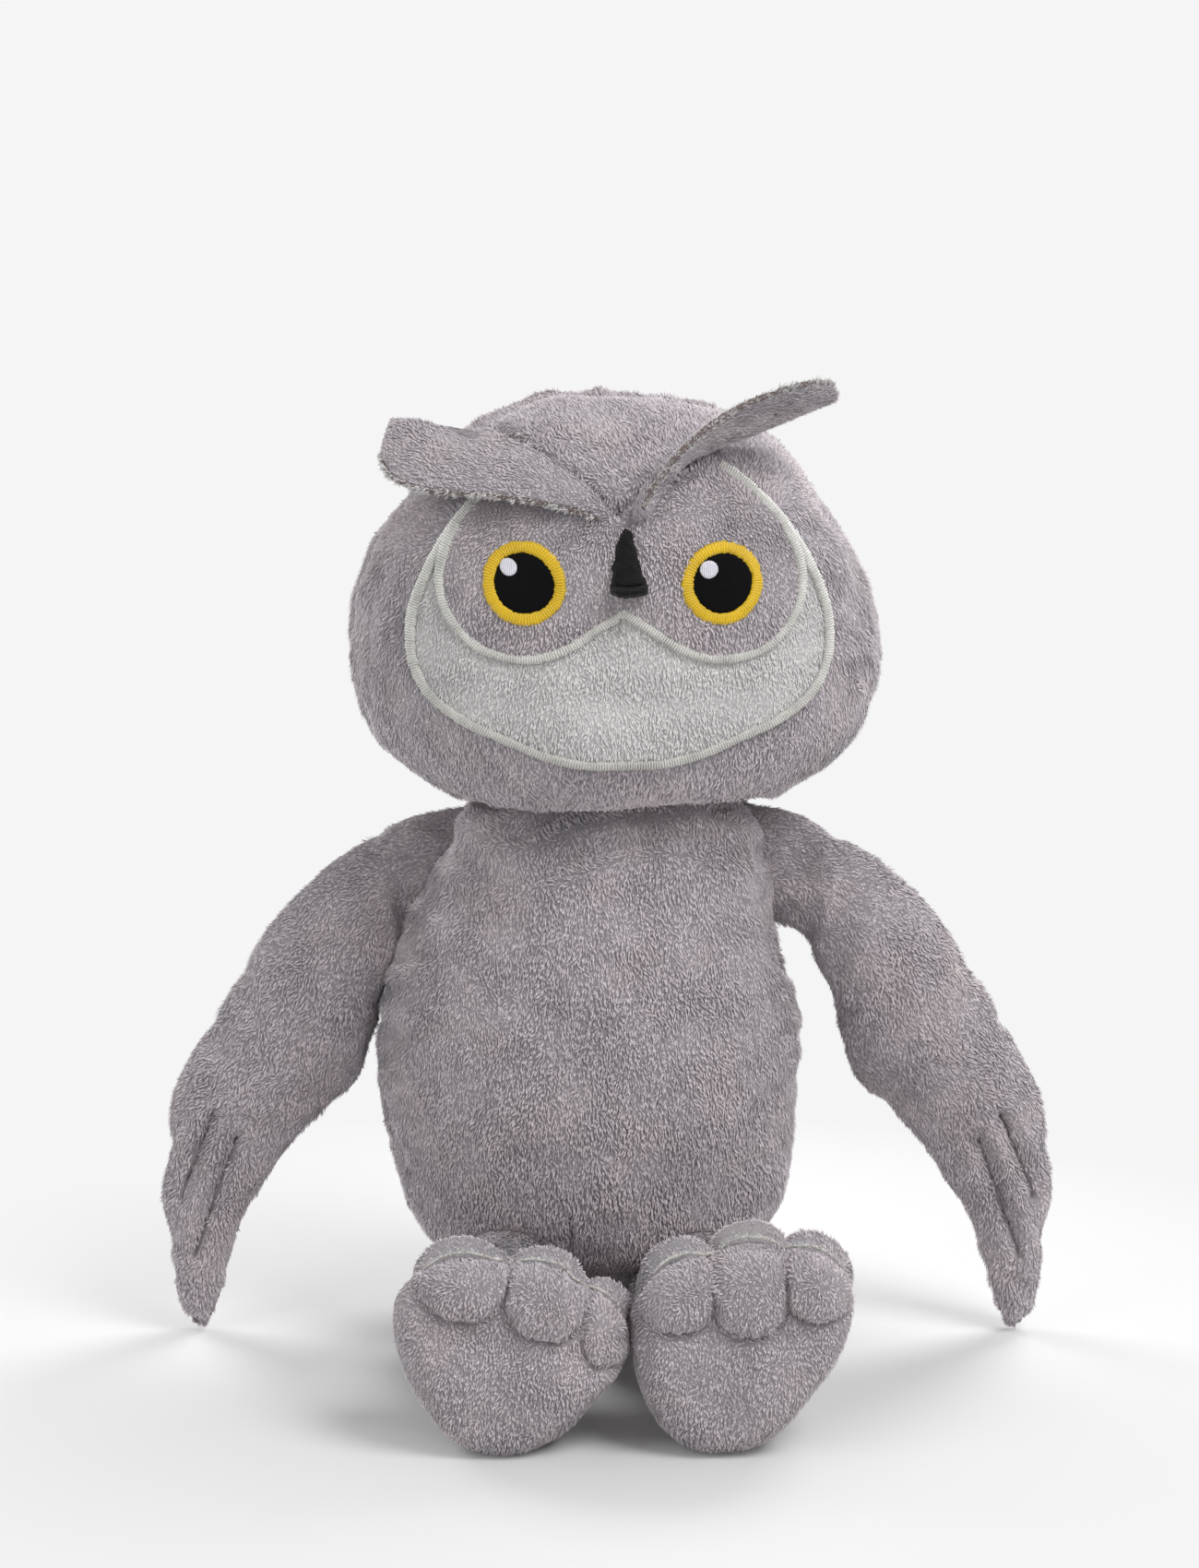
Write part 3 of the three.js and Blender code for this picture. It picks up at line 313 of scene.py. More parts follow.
def loft(name, rings, ends=(True, True)):
    """A skin over rings of points, closed by a fan at each end that asks for it."""
    count, around = rings.shape[:2]
    corners = rings.reshape(-1, 3)
    j = np.arange(around)
    k = (j + 1) % around
    start = (np.arange(count - 1) * around)[:, None]
    quads = np.stack([start + j, start + k, start + around + k, start + around + j], axis=-1).reshape(-1, 4)
    fans, extra = [], []
    for end, ring, flip in ((ends[0], 0, True), (ends[1], count - 1, False)):
        if end:
            extra.append(rings[ring].mean(axis=0))
            tip = np.full(around, len(corners) + len(extra) - 1)
            a, b = ring * around + j, ring * around + k
            fans.append(np.stack([b, a, tip] if flip else [a, b, tip], axis=-1))
    corners = np.vstack([corners, *extra]) if extra else corners
    first, second, third = (corners[quads[:, k]] for k in range(3))
    if np.einsum("ij,ij->i", first, np.cross(second, third)).sum() < 0:
        quads, fans = quads[:, ::-1], [f[:, ::-1] for f in fans]
    return new_mesh(name, corners, quads, *fans)


def corners_of(obj):
    out = np.empty(len(obj.data.vertices) * 3, np.float32)
    obj.data.vertices.foreach_get("co", out)
    return out.reshape(-1, 3).astype(float) / MM


def normals_of(obj):
    out = np.empty(len(obj.data.vertices) * 3, np.float32)
    obj.data.vertex_normals.foreach_get("vector", out)
    return out.reshape(-1, 3).astype(float)


def move_corners(obj, corners):
    obj.data.vertices.foreach_set("co", np.asarray(corners * MM, np.float32).ravel())
    obj.data.update()


def rings_of(cover, rings):
    """The rings of a cover, where its corners lie now."""
    return corners_of(cover)[:rings.shape[0] * rings.shape[1]].reshape(rings.shape)


def give_values(obj, name, values):
    """Stores a number at each corner, for the shaders to read."""
    attribute = obj.data.attributes.new(name, "FLOAT", "POINT")
    attribute.data.foreach_set("value", np.asarray(values).astype(np.float32))


def press(obj, amounts):
    """Moves each corner along its normal by its own amount, in millimetres."""
    move_corners(obj, corners_of(obj) + normals_of(obj) * amounts[:, None])


def stuffed(rings, spread, cap, seams=()):
    """Rings blown up by their filling, as a coarse copy of them swells in the cloth simulation.

    spread is how many corners apart the copy's corners are, cap limits the moves in millimetres, and
    seams are the columns that hold still.
    """
    count, around = rings.shape[:2]
    few = math.ceil(count / spread)
    rows = np.linspace(0, count - 1, few).round().astype(int)
    coarse = rings[rows][:, ::spread]
    columns = coarse.shape[1]
    copy = loft("stuffing_trial", coarse)
    held = copy.vertex_groups.new(name="held")
    tight = [0, few - 1]
    sewn = [r * columns + c for r in range(few) for c in range(columns) if r in tight or c * spread in seams]
    held.add(sewn + list(range(few * columns, len(copy.data.vertices))), 1.0, "REPLACE")
    cloth = copy.modifiers.new("Cloth", "CLOTH")
    cloth.settings.vertex_group_mass = "held"
    cloth.settings.mass = CLOTH_MASS
    cloth.settings.use_pressure = True
    cloth.settings.uniform_pressure_force = CLOTH_PRESSURE
    cloth.settings.shrink_min = CLOTH_SLACK
    cloth.settings.effector_weights.gravity = 0
    scene = bpy.context.scene
    for frame_number in range(1, CLOTH_STEPS + 1):
        scene.frame_set(frame_number)
    blown = copy.evaluated_get(bpy.context.evaluated_depsgraph_get()).data
    after = np.empty(len(blown.vertices) * 3, np.float32)
    blown.vertices.foreach_get("co", after)
    moves = (after.reshape(-1, 3).astype(float) / MM)[:few * columns].reshape(few, columns, 3) - coarse
    bpy.data.objects.remove(copy)
    scene.frame_set(1)
    size = np.linalg.norm(moves, axis=-1, keepdims=True)
    moves = moves * cap * np.tanh(size / cap) / np.maximum(size, 1e-6)
    moves = smooth_rows(moves.reshape(few, -1), np.linspace(0, 1, count)).reshape(count, columns, 3)
    moves = smooth_loop(moves.transpose(1, 0, 2).reshape(columns, -1), around)
    return rings + moves.reshape(around, count, 3).transpose(1, 0, 2)


def tree_of(obj):
    corners = corners_of(obj)
    return BVHTree.FromPolygons([tuple(c) for c in corners], [tuple(p.vertices) for p in obj.data.polygons])


def soften(value, squareness):
    return np.sign(value) * np.abs(value) ** (2 / squareness)


def standing(rows, size, rings, around, squareness=2.2):
    """Rings of a form that stands upright: rows give height, half width, front and back."""
    shares = np.linspace(0, 1, rings)
    up, wide, front, back = (column[:, None] for column in smooth_rows(rows, shares).T)
    angle = full_turn(around)
    x, y = soften(np.cos(angle), squareness), soften(np.sin(angle), squareness)
    depth = np.where(y < 0, front, back) * size[1]
    return np.stack([wide * size[0] * x, depth * y, up * size[2] + 0 * x], axis=-1)


def turned(points, angle, axis="Z"):
    return points @ np.array(Matrix.Rotation(angle, 3, axis)).T


def from_head(points):
    """From the head's own frame to the owl's."""
    return turned(points, HEAD_TURN) + NECK


# Node groups

def socket(group, name, kind, way="INPUT", value=None):
    made = group.interface.new_socket(name=name, in_out=way, socket_type=kind)
    if value is not None:
        made.default_value = value
    return made


def node(tree, kind, values=None, **settings):
    made = tree.nodes.new(kind)
    for key, value in settings.items():
        setattr(made, key, value)
    for key, value in (values or {}).items():
        made.inputs[key].default_value = value
    return made


def feed(tree, value, target):
    """Links a socket to an input, or sets the input to a plain value."""
    if isinstance(value, bpy.types.NodeSocket):
        tree.links.new(value, target)
    else:
        target.default_value = value


def math_node(tree, operation, *values):
    made = node(tree, "ShaderNodeMath", operation=operation)
    for slot, value in enumerate(values):
        feed(tree, value, made.inputs[slot])
    return made.outputs[0]


def mix_colours(tree, share, first, second):
    made = node(tree, "ShaderNodeMix", data_type="RGBA")
    for slot, value in ((0, share), (6, first), (7, second)):
        feed(tree, value, made.inputs[slot])
    return made.outputs[2]


def mix_shaders(tree, share, first, second, target):
    mixer = node(tree, "ShaderNodeMixShader")
    for slot, value in enumerate((share, first, second)):
        tree.links.new(value, mixer.inputs[slot])
    tree.links.new(mixer.outputs[0], target)


def ramp(tree, value, low, high):
    made = node(tree, "ShaderNodeMapRange", {"From Min": low, "From Max": high})
    tree.links.new(value, made.inputs["Value"])
    return made.outputs["Result"]


def place_of(tree, stretch=(1.0, 1.0, 1.0), scale=1.0):
    coordinates = node(tree, "ShaderNodeTexCoord")
    mapping = node(tree, "ShaderNodeMapping", {"Scale": tuple(scale * s for s in stretch)})
    tree.links.new(coordinates.outputs["Object"], mapping.inputs["Vector"])
    return mapping.outputs["Vector"]


def noise(tree, place, scale, detail=2.0, roughness=0.5, distortion=0.0):
    made = node(tree, "ShaderNodeTexNoise", {
        "Scale": scale, "Detail": detail, "Roughness": roughness, "Distortion": distortion,
    })
    tree.links.new(place, made.inputs["Vector"])
    return made.outputs["Fac"]


def plush_group():
    """Colour of plush: nap that lies lighter and darker in drifts, with painted light and shade on single
    tufts and along fine streaks, and painted shade at the roots between the tufts.
    """
    name = "Plush colour"
    if name in bpy.data.node_groups:
        return bpy.data.node_groups[name]
    group = bpy.data.node_groups.new(name, "ShaderNodeTree")
    socket(group, "Light", "NodeSocketColor", value=(0.5, 0.5, 0.5, 1))
    socket(group, "Dark", "NodeSocketColor", value=(0.2, 0.2, 0.2, 1))
    socket(group, "Warm", "NodeSocketColor", value=(0.5, 0.4, 0.4, 1))
    socket(group, "Tuft", "NodeSocketFloat", value=0.5)
    socket(group, "Height", "NodeSocketFloat", value=0.5)
    socket(group, "Color", "NodeSocketColor", "OUTPUT")
    socket(group, "Relief", "NodeSocketFloat", "OUTPUT")
    enter = node(group, "NodeGroupInput")
    leave = node(group, "NodeGroupOutput")
    place = place_of(group)
    drifts = noise(group, place, scale=32, detail=3.0, roughness=0.6, distortion=0.8)
    tint = noise(group, place, scale=55)
    # Fine streaks along the nap: painted shade between the strands in the colour, and the relief of cloth
    # without pile.
    streak_shade_and_relief = noise(group, place_of(group, (1.0, 1.0, 0.32)), scale=2300, roughness=0.6, distortion=1.2)
    share = math_node(group, "MULTIPLY", ramp(group, drifts, 0.3, 0.7), 0.14)
    share = math_node(group, "MULTIPLY_ADD", ramp(group, streak_shade_and_relief, 0.36, 0.64), 0.3, share)
    share = math_node(group, "ADD", share, 0.08)
    # Tuft: each clump's painted light and shade, standing in for the shading of the pile's relief.
    share = math_node(group, "MULTIPLY_ADD", enter.outputs["Tuft"], 0.44, share)
    base = mix_colours(group, share, enter.outputs["Dark"], enter.outputs["Light"])
    warmed = mix_colours(group, ramp(group, tint, 0.45, 0.75), base, enter.outputs["Warm"])
    half = mix_colours(group, 0.45, base, warmed)
    # Height: painted shade at the roots between the tufts.
    root_shaded = mix_colours(group, ramp(group, enter.outputs["Height"], -0.1, 0.6), enter.outputs["Dark"], half)
    group.links.new(root_shaded, leave.inputs["Color"])
    group.links.new(streak_shade_and_relief, leave.inputs["Relief"])
    return group


def linear(colour):
    """A colour of screen shares, 0 to 1, as the shader takes it."""
    return tuple(c / 12.92 if c <= 0.04045 else ((c + 0.055) / 1.055) ** 2.4 for c in colour[:3]) + (1.0,)


def shaded(colour, share):
    """A colour made darker, for the shadows between threads."""
    return linear([share * v for v in colour])


def made_once(build):
    """Finds a material by its name, and builds it the first time."""

    @functools.wraps(build)
    def find(name, *values, **settings):
        found = bpy.data.materials.get(name)
        return build(name, *values, **settings) if found is None else found

    return find


def new_material(name, values):
    """A material with constant values on its shader, the material's tree and the shader."""
    material = bpy.data.materials.new(name)
    material.use_nodes = True
    shader = material.node_tree.nodes["Principled BSDF"]
    for key, value in values.items():
        shader.inputs[key].default_value = value
    return material, material.node_tree, shader


def add_bump(tree, shader, height, strength, distance):
    bump = node(tree, "ShaderNodeBump", {"Strength": strength, "Distance": distance})
    tree.links.new(height, bump.inputs["Height"])
    tree.links.new(bump.outputs["Normal"], shader.inputs["Normal"])


@made_once
def plush(name, light, dark, warm, sheen, pile):
    """Plush in one colour. The pile's clumps read their own painted light and shade and their height, which
    paints shade at their roots; the cloth is even, and darker as painted shade between the tufts.
    """
    material, tree, shader = new_material(name, {
        "Roughness": 0.9, "Specular IOR Level": 0.2, "Sheen Weight": sheen, "Sheen Roughness": 0.45,
    })
    # Without pile the cloth takes a low tuft and height, so it reads darker: painted shade between the tufts.
    values = {"Light": linear(light), "Dark": linear(dark), "Warm": linear(warm), "Tuft": 0.3, "Height": 0.26}
    cloth = node(tree, "ShaderNodeGroup", values, node_tree=plush_group())
    if pile:
        for attribute, slot in (("pile_clump_shade", "Tuft"), ("pile_height", "Height")):
            reader = node(tree, "ShaderNodeAttribute", attribute_name=attribute)
            tree.links.new(reader.outputs["Fac"], cloth.inputs[slot])
    else:
        add_bump(tree, shader, cloth.outputs["Relief"], strength=0.8, distance=0.0012)
    tree.links.new(cloth.outputs["Color"], shader.inputs["Base Color"])
    return material


@made_once
def thread(name, colour, shadow_share, roughness=0.45, sheen=0.15, specular=0.5):
    """Embroidery thread: fine strands across each stitch, darker between the stitches as painted shade, and
    lighter where the stitch value paints light.
    """
    material, tree, shader = new_material(name, {
        "Roughness": roughness, "Specular IOR Level": specular, "Sheen Weight": sheen,
    })
    place = place_of(tree)
    strands = noise(tree, place, scale=2200, roughness=0.6)
    drifts = noise(tree, place, scale=160)
    # The stitch value is painted light on the stitches of satin and discs, with painted shade between them
    # and at their edges; on raw edges it is a random tone.
    reader = node(tree, "ShaderNodeAttribute", attribute_name="stitch")
    share = math_node(tree, "MULTIPLY", ramp(tree, strands, 0.3, 0.7), 0.3)
    share = math_node(tree, "MULTIPLY_ADD", ramp(tree, drifts, 0.35, 0.65), 0.2, share)
    share = math_node(tree, "MULTIPLY_ADD", reader.outputs["Fac"], 0.5, share)
    mixed = mix_colours(tree, share, shaded(colour, shadow_share), linear(colour))
    tree.links.new(mixed, shader.inputs["Base Color"])
    add_bump(tree, shader, strands, strength=0.5, distance=0.0003)
    return material


@made_once
def woven(name, colour, shadow_share, scale, roughness=0.8):
    """Plain woven cloth: threads over and under each other in two directions."""
    material, tree, shader = new_material(name, {
        "Roughness": roughness, "Specular IOR Level": 0.2, "Sheen Weight": 0.08,
    })
    place = place_of(tree)
    waves = []
    for direction in ("X", "Z"):
        values = {"Scale": scale, "Distortion": 0.6, "Detail": 1.0}
        wave = node(tree, "ShaderNodeTexWave", values, bands_direction=direction)
        tree.links.new(place, wave.inputs["Vector"])
        waves.append(wave.outputs["Fac"])
    weave = math_node(tree, "MULTIPLY", *waves)
    lint = noise(tree, place, scale=240, detail=3.0, roughness=0.7)
    share = math_node(tree, "MULTIPLY_ADD", weave, 0.6, math_node(tree, "MULTIPLY", lint, 0.5))
    mixed = mix_colours(tree, share, shaded(colour, shadow_share), linear(colour))
    tree.links.new(mixed, shader.inputs["Base Color"])
    add_bump(tree, shader, weave, strength=0.5, distance=0.0003)
    return material


# Sizes and colours that a user would change

def colour_setting(name, description, default):
    return bpy.props.FloatVectorProperty(
        name=name, description=description, subtype="COLOR", size=3, min=0, max=1, default=default,
    )


def length_setting(name, description, default):
    return bpy.props.FloatProperty(
        name=name, description=description, subtype="DISTANCE", unit="LENGTH", min=0, default=default * MM,
    )


class OwlSizes(bpy.types.PropertyGroup):
    """Sizes of the pile, the stitches and the seams."""

    pile_length: length_setting("Pile length", "Length of a clump of pile", 2.0)
    pile_width: length_setting("Pile width", "Width of a clump at its widest", 0.5)
    pile_spacing: length_setting("Pile spacing", "Distance between clumps", 0.72)
    pile_lean: bpy.props.FloatProperty(
        name="Pile lean", description="How far the clumps lean over from upright", subtype="ANGLE",
        min=0, max=math.pi / 2, default=math.radians(70),
    )
    stitch_pitch: length_setting("Stitch pitch", "Distance between satin stitches", 0.7)
    seam_depth: length_setting("Seam depth", "How far a seam is drawn in", 1.6)
    seam_width: length_setting("Seam width", "Half width of a seam's valley", 1.5)
    crease_depth: length_setting("Crease depth", "Depth of the stitched creases of toes and feathers", 3.2)
    wrinkle_depth: length_setting("Wrinkle depth", "Height of soft wrinkles in the cloth", 1.25)


class OwlColours(bpy.types.PropertyGroup):
    """Colours of the cloths and threads."""

    # The tips' colours are partly painted highlight, and the roots' colours are painted shade down between
    # the tufts.
    grey_tips_and_highlight: colour_setting("Grey tips", "Plush where the nap shows its tips", (0.95, 0.91, 0.93))
    grey_roots_and_shade: colour_setting("Grey roots", "Plush between its tufts", (0.475, 0.46, 0.485))
    grey_warm: colour_setting("Grey drift", "Warmer drifts in the grey plush", (0.86, 0.81, 0.80))
    pale_tips_and_highlight: colour_setting("Pale tips", "Pale plush of the face", (0.94, 0.93, 0.925))
    pale_roots_and_shade: colour_setting("Pale roots", "Pale plush between its tufts", (0.75, 0.745, 0.745))
    border: colour_setting("Border thread", "Satin stitch round the face", (0.95, 0.945, 0.92))
    yellow: colour_setting("Eye thread", "Satin stitch of the eye rings", (0.97, 0.80, 0.02))
    black: colour_setting("Pupil thread", "Satin stitch of the pupils", (0.03, 0.03, 0.04))
    white: colour_setting("Glint thread", "Satin stitch of the glints", (0.93, 0.92, 0.96))
    beak: colour_setting("Beak cloth", "Folded cloth of the beak", (0.04, 0.037, 0.04))
    raw_edge: colour_setting("Raw edge", "Brown seam line along a brow's edge", (0.50, 0.44, 0.43))
    filling: colour_setting("Filling", "Loose filling inside", (0.95, 0.94, 0.92))
    bag: colour_setting("Pellet bag", "Cotton of the pellet bag", (0.85, 0.83, 0.78))
    background: colour_setting("Background", "Floor and backdrop", (0.961, 0.961, 0.961))


def sizes():
    return bpy.context.scene.owl_sizes


def colours():
    return bpy.context.scene.owl_colours


def mm(value):
    return value / MM


def grey_plush(pile=False):
    c = colours()
    return plush("Grey pile" if pile else "Grey cloth", c.grey_tips_and_highlight, c.grey_roots_and_shade, c.grey_warm, 0.45, pile)


def pale_plush(pile=False):
    c = colours()
    return plush("Pale pile" if pile else "Pale cloth", c.pale_tips_and_highlight, c.pale_roots_and_shade, c.pale_tips_and_highlight, 0.35, pile)


def filling_wool():
    return woven("Filling wool", colours().filling, 0.82, 60, 1.0)


PLUSHES = {"grey_plush": grey_plush, "pale_plush": pale_plush}


# Pieces

def finish(obj, material, body=None, replaces=()):
    """Gives a piece its material and the body that it rides on."""
    obj.data.materials.clear()
    obj.data.materials.append(material)
    if replaces:
        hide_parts(*replaces)
    if body:
        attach(obj, body)
    return obj


def finish_grey(obj, body=None, replaces=()):
    return finish(obj, grey_plush(), body, replaces)


def bend(pieces, parent, body, start, end):
    """Bakes each piece's transform into its corners. The parent, the body and the two places, given in
    millimetres, are not used.
    """
    for piece in pieces:
        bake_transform(piece)


def seam(points, line, depth, width, pucker=7.0, seed=1):
    """How far a seam along a line draws the cloth in, with small puckers on both sides of it."""
    distance, along = to_line(points, line)
    rng = np.random.default_rng(seed)
    ripple = np.sin(along * 2 * math.pi / pucker + rng.uniform(0, 6))
    ripple = ripple * np.sin(along * 2 * math.pi / (pucker * 2.7))
    valley = -depth * bell(distance, width) * (1 + 0.2 * ripple)
    rolls = 0.3 * depth * bell(distance - 2.6 * width, 1.6 * width) * (1 + 0.8 * ripple)
    return valley + rolls


# How the clumps of pile vary: their length and width as shares, and their angles in radians.
CLUMP_LENGTHS = (0.7, 1.2)
CLUMP_WIDTHS = (0.75, 1.2)
CLUMP_TILTS = (0.5, 1.45)
CLUMP_SWIRL = 0.3
CLUMP_SWIRL_SIZE = 5.5
CLUMP_STRAY = 0.13
CLUMP_DRIFT = 0.12
CLUMP_DRIFT_SIZE = 16.0
# How far a clump's root lies in the cloth, in millimetres, and behind its spot, as a share of its length.
CLUMP_SINK = 0.08
CLUMP_SETBACK = 0.2


def grow_pile(name, cover, nap, seed, keep=None, length=None, slot="grey_plush"):
    """Clumps of pile on a cover, each a folded leaf that lies along the nap and lifts its tip."""
    size = sizes()
    length = mm(size.pile_length) if length is None else length
    spacing, width, lean = mm(size.pile_spacing), mm(size.pile_width), size.pile_lean
    mesh = cover.data
    mesh.calc_loop_triangles()
    triangles = np.empty(len(mesh.loop_triangles) * 3, np.int32)
    mesh.loop_triangles.foreach_get("vertices", triangles)
    triangles = triangles.reshape(-1, 3)
    corners, normals = corners_of(cover), normals_of(cover)
    a, b, c = (corners[triangles[:, k]] for k in range(3))
    area = np.linalg.norm(np.cross(b - a, c - a), axis=1) / 2
    rng = np.random.default_rng(seed)
    count = int(area.sum() / spacing**2)
    spots = (np.arange(count) + rng.uniform(size=count)) / count * area.sum()
    chosen = np.searchsorted(np.cumsum(area), spots)
    chosen = np.minimum(chosen, len(triangles) - 1)
    u, v = rng.uniform(size=(2, count))
    fold = u + v > 1
    u, v = np.where(fold, 1 - u, u), np.where(fold, 1 - v, v)
    shares = np.stack([1 - u - v, u, v], axis=1)[:, :, None]
    point = (corners[triangles[chosen]] * shares).sum(axis=1)
    normal = unit((normals[triangles[chosen]] * shares).sum(axis=1))
    if keep is not None:
        kept = keep(point, normal)
        point, normal = point[kept], normal[kept]
    count = len(point)
    swirl = np.stack([lumps(point, CLUMP_SWIRL_SIZE, seed + k) for k in range(3)], axis=1)
    combed = nap(point, normal)
    combed = unit(combed - normal * (combed * normal).sum(axis=1, keepdims=True))
    way = combed + CLUMP_SWIRL * swirl + rng.normal(scale=CLUMP_STRAY, size=(count, 3))
    way = unit(way - normal * (way * normal).sum(axis=1, keepdims=True))
    side = np.cross(normal, way)
    drift = CLUMP_DRIFT * lumps(point, CLUMP_DRIFT_SIZE, seed + 5)[:, None]
    tall = length * rng.uniform(*CLUMP_LENGTHS, size=(count, 1))
    tilt = np.clip(lean + drift + rng.normal(scale=0.1, size=(count, 1)), *CLUMP_TILTS)
    ahead = normal * np.cos(tilt) + way * np.sin(tilt)
    above = normal * np.sin(tilt) - way * np.cos(tilt)
    half = width * rng.uniform(*CLUMP_WIDTHS, size=(count, 1)) / 2
    root = point - CLUMP_SINK * normal - CLUMP_SETBACK * tall * way
    belly = root + 0.5 * tall * ahead - 0.3 * half * above
    tip = root + tall * ahead
    leaves = np.stack([root, belly - side * half, belly + side * half, tip], axis=1)
    return finish(make_clumps(name, leaves, rng, PILE_HEIGHTS), PLUSHES[slot](True))


def make_clumps(name, leaves, rng, heights):
    """Clumps of two faces each, from their root, two sides and tip, with what their shader reads."""
    count = len(leaves)
    index = np.arange(count)[:, None] * 4
    faces = np.concatenate([index + [0, 3, 1], index + [0, 2, 3]], axis=1).reshape(-1, 3)
    clumps = new_mesh(name, leaves.reshape(-1, 3), faces)
    # Each clump's random value is its painted light and shade, and its heights paint shade at its root.
    give_values(clumps, "pile_clump_shade", np.repeat(rng.uniform(size=count), 4))
    give_values(clumps, "pile_height", np.tile(heights, count))
    lay_out_clumps(clumps, count)
    return clumps


# Heights of a clump's root, sides and tip, as its shader reads them for painted shade at the roots.
PILE_HEIGHTS = [0.0, 0.42, 0.42, 1.0]
FRINGE_HEIGHTS = [0.5, 0.7, 0.7, 1.0]
# A clump's two faces in its square of the map.
CLUMP_MAP = [(0.5, 0.05), (0.5, 0.95), (0.06, 0.5), (0.5, 0.05), (0.94, 0.5), (0.5, 0.95)]


def lay_out_clumps(pile, count):
    """A map in which each clump has a square of its own, with its two faces side by side."""
    across = math.ceil(math.sqrt(count))
    cell = np.stack([np.arange(count) % across, np.arange(count) // across], axis=1)[:, None, :]
    places = (cell + np.array(CLUMP_MAP)[None]) / across
    layer = pile.data.uv_layers.new(name="OFBake")
    layer.data.foreach_set("uv", places.astype(np.float32).ravel())


def stuff(name, rings, inset, nodes, body):
    """The loose filling of a cover: the cover's own form, smaller all round and lumpy."""
    middle = rings.mean(axis=1, keepdims=True)
    spread = np.linalg.norm(rings - middle, axis=-1).min(axis=1)
    rings = middle + (rings - middle) * np.clip(1 - inset / spread, 0.3, 1)[:, None, None]
    along = np.concatenate([[0], np.cumsum(np.linalg.norm(np.diff(middle[:, 0], axis=0), axis=1))])
    kept = (along >= inset) & (along <= along[-1] - inset)
    filling = loft(name, rings[kept][::4, ::5])
    press(filling, -0.5 + 0.5 * lumps(corners_of(filling), 9, len(name)))
    return finish(filling, filling_wool(), body, nodes)


def down_nap(point, normal):
    """Nap that hangs down, and lies back over the tops."""
    top = smooth_step(0.35, 0.65, normal[:, 2])[:, None]
    return (1 - top) * [0.0, -0.15, -1.0] + top * [-0.5, 1.0, 0.0]


def steady_nap(*way):
    """Nap that lies one way all over."""
    return lambda point, normal: np.tile(way, (len(point), 1))


# Body

# How deep the seat is cut flat, and the height of its cloth above the floor.
SEAT_CUT = 0.5
SEAT_HEIGHT = 0.15


def body_surface(points):
    """Lean of the body towards its neck, and its flat seat."""
    lean = NECK[0] * smooth_step(*LEAN_SHARES, points[..., 2] / BODY_SIZE[2])
    moved = points.copy()
    moved[..., 0] += lean
    moved[..., 2] = np.maximum(points[..., 2] - SEAT_CUT, SEAT_HEIGHT)
    return moved


BELLY_DART = [(-5.0, 26.0), (-5.0, 36.0), (-5.0, 47.0)]
BELLY_DART_DEPTH = 1.3
SEAT_SEAM_HEIGHT = 7.0
SEAT_SEAM_WIDTH = 1.6
BODY_PILE_RANGE = (1.2, 163)


def make_body():
    far_side = BODY_GRID[1] // 2
    rings = body_surface(standing(BODY_ROWS, BODY_SIZE, *BODY_GRID))
    rings = stuffed(rings, spread=5, cap=2.0, seams=(0, far_side))
    cover = loft("body_cover", rings)
    points = corners_of(cover)
    y, z = points[:, 1], points[:, 2]
    depth, width = mm(sizes().seam_depth), mm(sizes().seam_width)
    amounts = seam(points, rings[12:160:4, 0], depth, width, seed=2)
    amounts += seam(points, rings[12:160:4, far_side], depth, width, seed=3)
    distance, _ = to_line(points, BELLY_DART, flat=True)
    amounts += np.where(y < 0, -BELLY_DART_DEPTH * bell(distance, 1.0) * smooth_step(52, 44, z), 0)
    amounts -= bell(z - SEAT_SEAM_HEIGHT, SEAT_SEAM_WIDTH)
    amounts += soft_wrinkles(points)
    press(cover, amounts * smooth_step(0.3, 3.0, z))
    finish_grey(cover, "body", ["body_base_panel", "body_front_panel", "body_back_panel"])
    stuff("body_stuffing", rings_of(cover, rings), 4.5, ["body_filling"], "body")
    low, high = BODY_PILE_RANGE
    pile = grow_pile("body_pile", cover, down_nap, 11, lambda p, n: (p[:, 2] > low) & (p[:, 2] < high))
    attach(pile, "body")


NECK_FOLD_PITCH = 15
SIDE_TUCK_PITCH = 11


def soft_wrinkles(points):
    """Cross folds under the neck and at the sides, and slow lumps of filling all over."""
    depth = mm(sizes().wrinkle_depth)
    x, y, z = points.T
    high = smooth_step(95, 140, z) * smooth_step(160, 150, z)
    folds = np.sin((z + 0.10 * np.abs(x) + 3 * lumps(points, 60, 5)) * 2 * math.pi / NECK_FOLD_PITCH)
    sides = smooth_step(30, 52, np.abs(x)) * bell(z - 95, 26)
    tucks = np.sin((z + 0.35 * y + 2 * lumps(points, 40, 6)) * 2 * math.pi / SIDE_TUCK_PITCH)
    return depth * (0.5 * high * folds + 0.45 * sides * tucks + 0.7 * lumps(points, 46, 7))


# Head and face

class Head:
    """The head's form in its own frame, for what is sewn to it."""

    tree = None  # with its seams drawn in
    smooth = None  # without them

    @classmethod
    def front(cls, x, z, tree=None):
        hit, normal, _, _ = (tree or cls.tree).ray_cast(Vector((x, -200, z)), Vector((0, 1, 0)))
        if hit is None:
            raise RuntimeError(f"nothing of the head lies at {x:.1f}, {z:.1f}")
        return np.array(hit), np.array(normal)

    @classmethod
    def under(cls, flat):
        """The head's points and normals behind flat points."""
        hits = np.array([np.concatenate(cls.front(x, z)) for x, z in flat])
        return hits[:, :3], hits[:, 3:]


def half_line(shares, size, side, count):
    half_width, bottom, height = size
    line = smooth_rows(shares, np.linspace(0, 1, count))
    return np.stack([side * line[:, 0] * half_width + FACE_SHIFT, bottom + line[:, 1] * height], axis=1)


def mirrored(shares, size, count):
    """A line from the owl's right over the middle to its left, from its half."""
    right, left = (half_line(shares, size, side, count) for side in (-1, 1))
    return np.vstack([right[::-1], left[1:]])


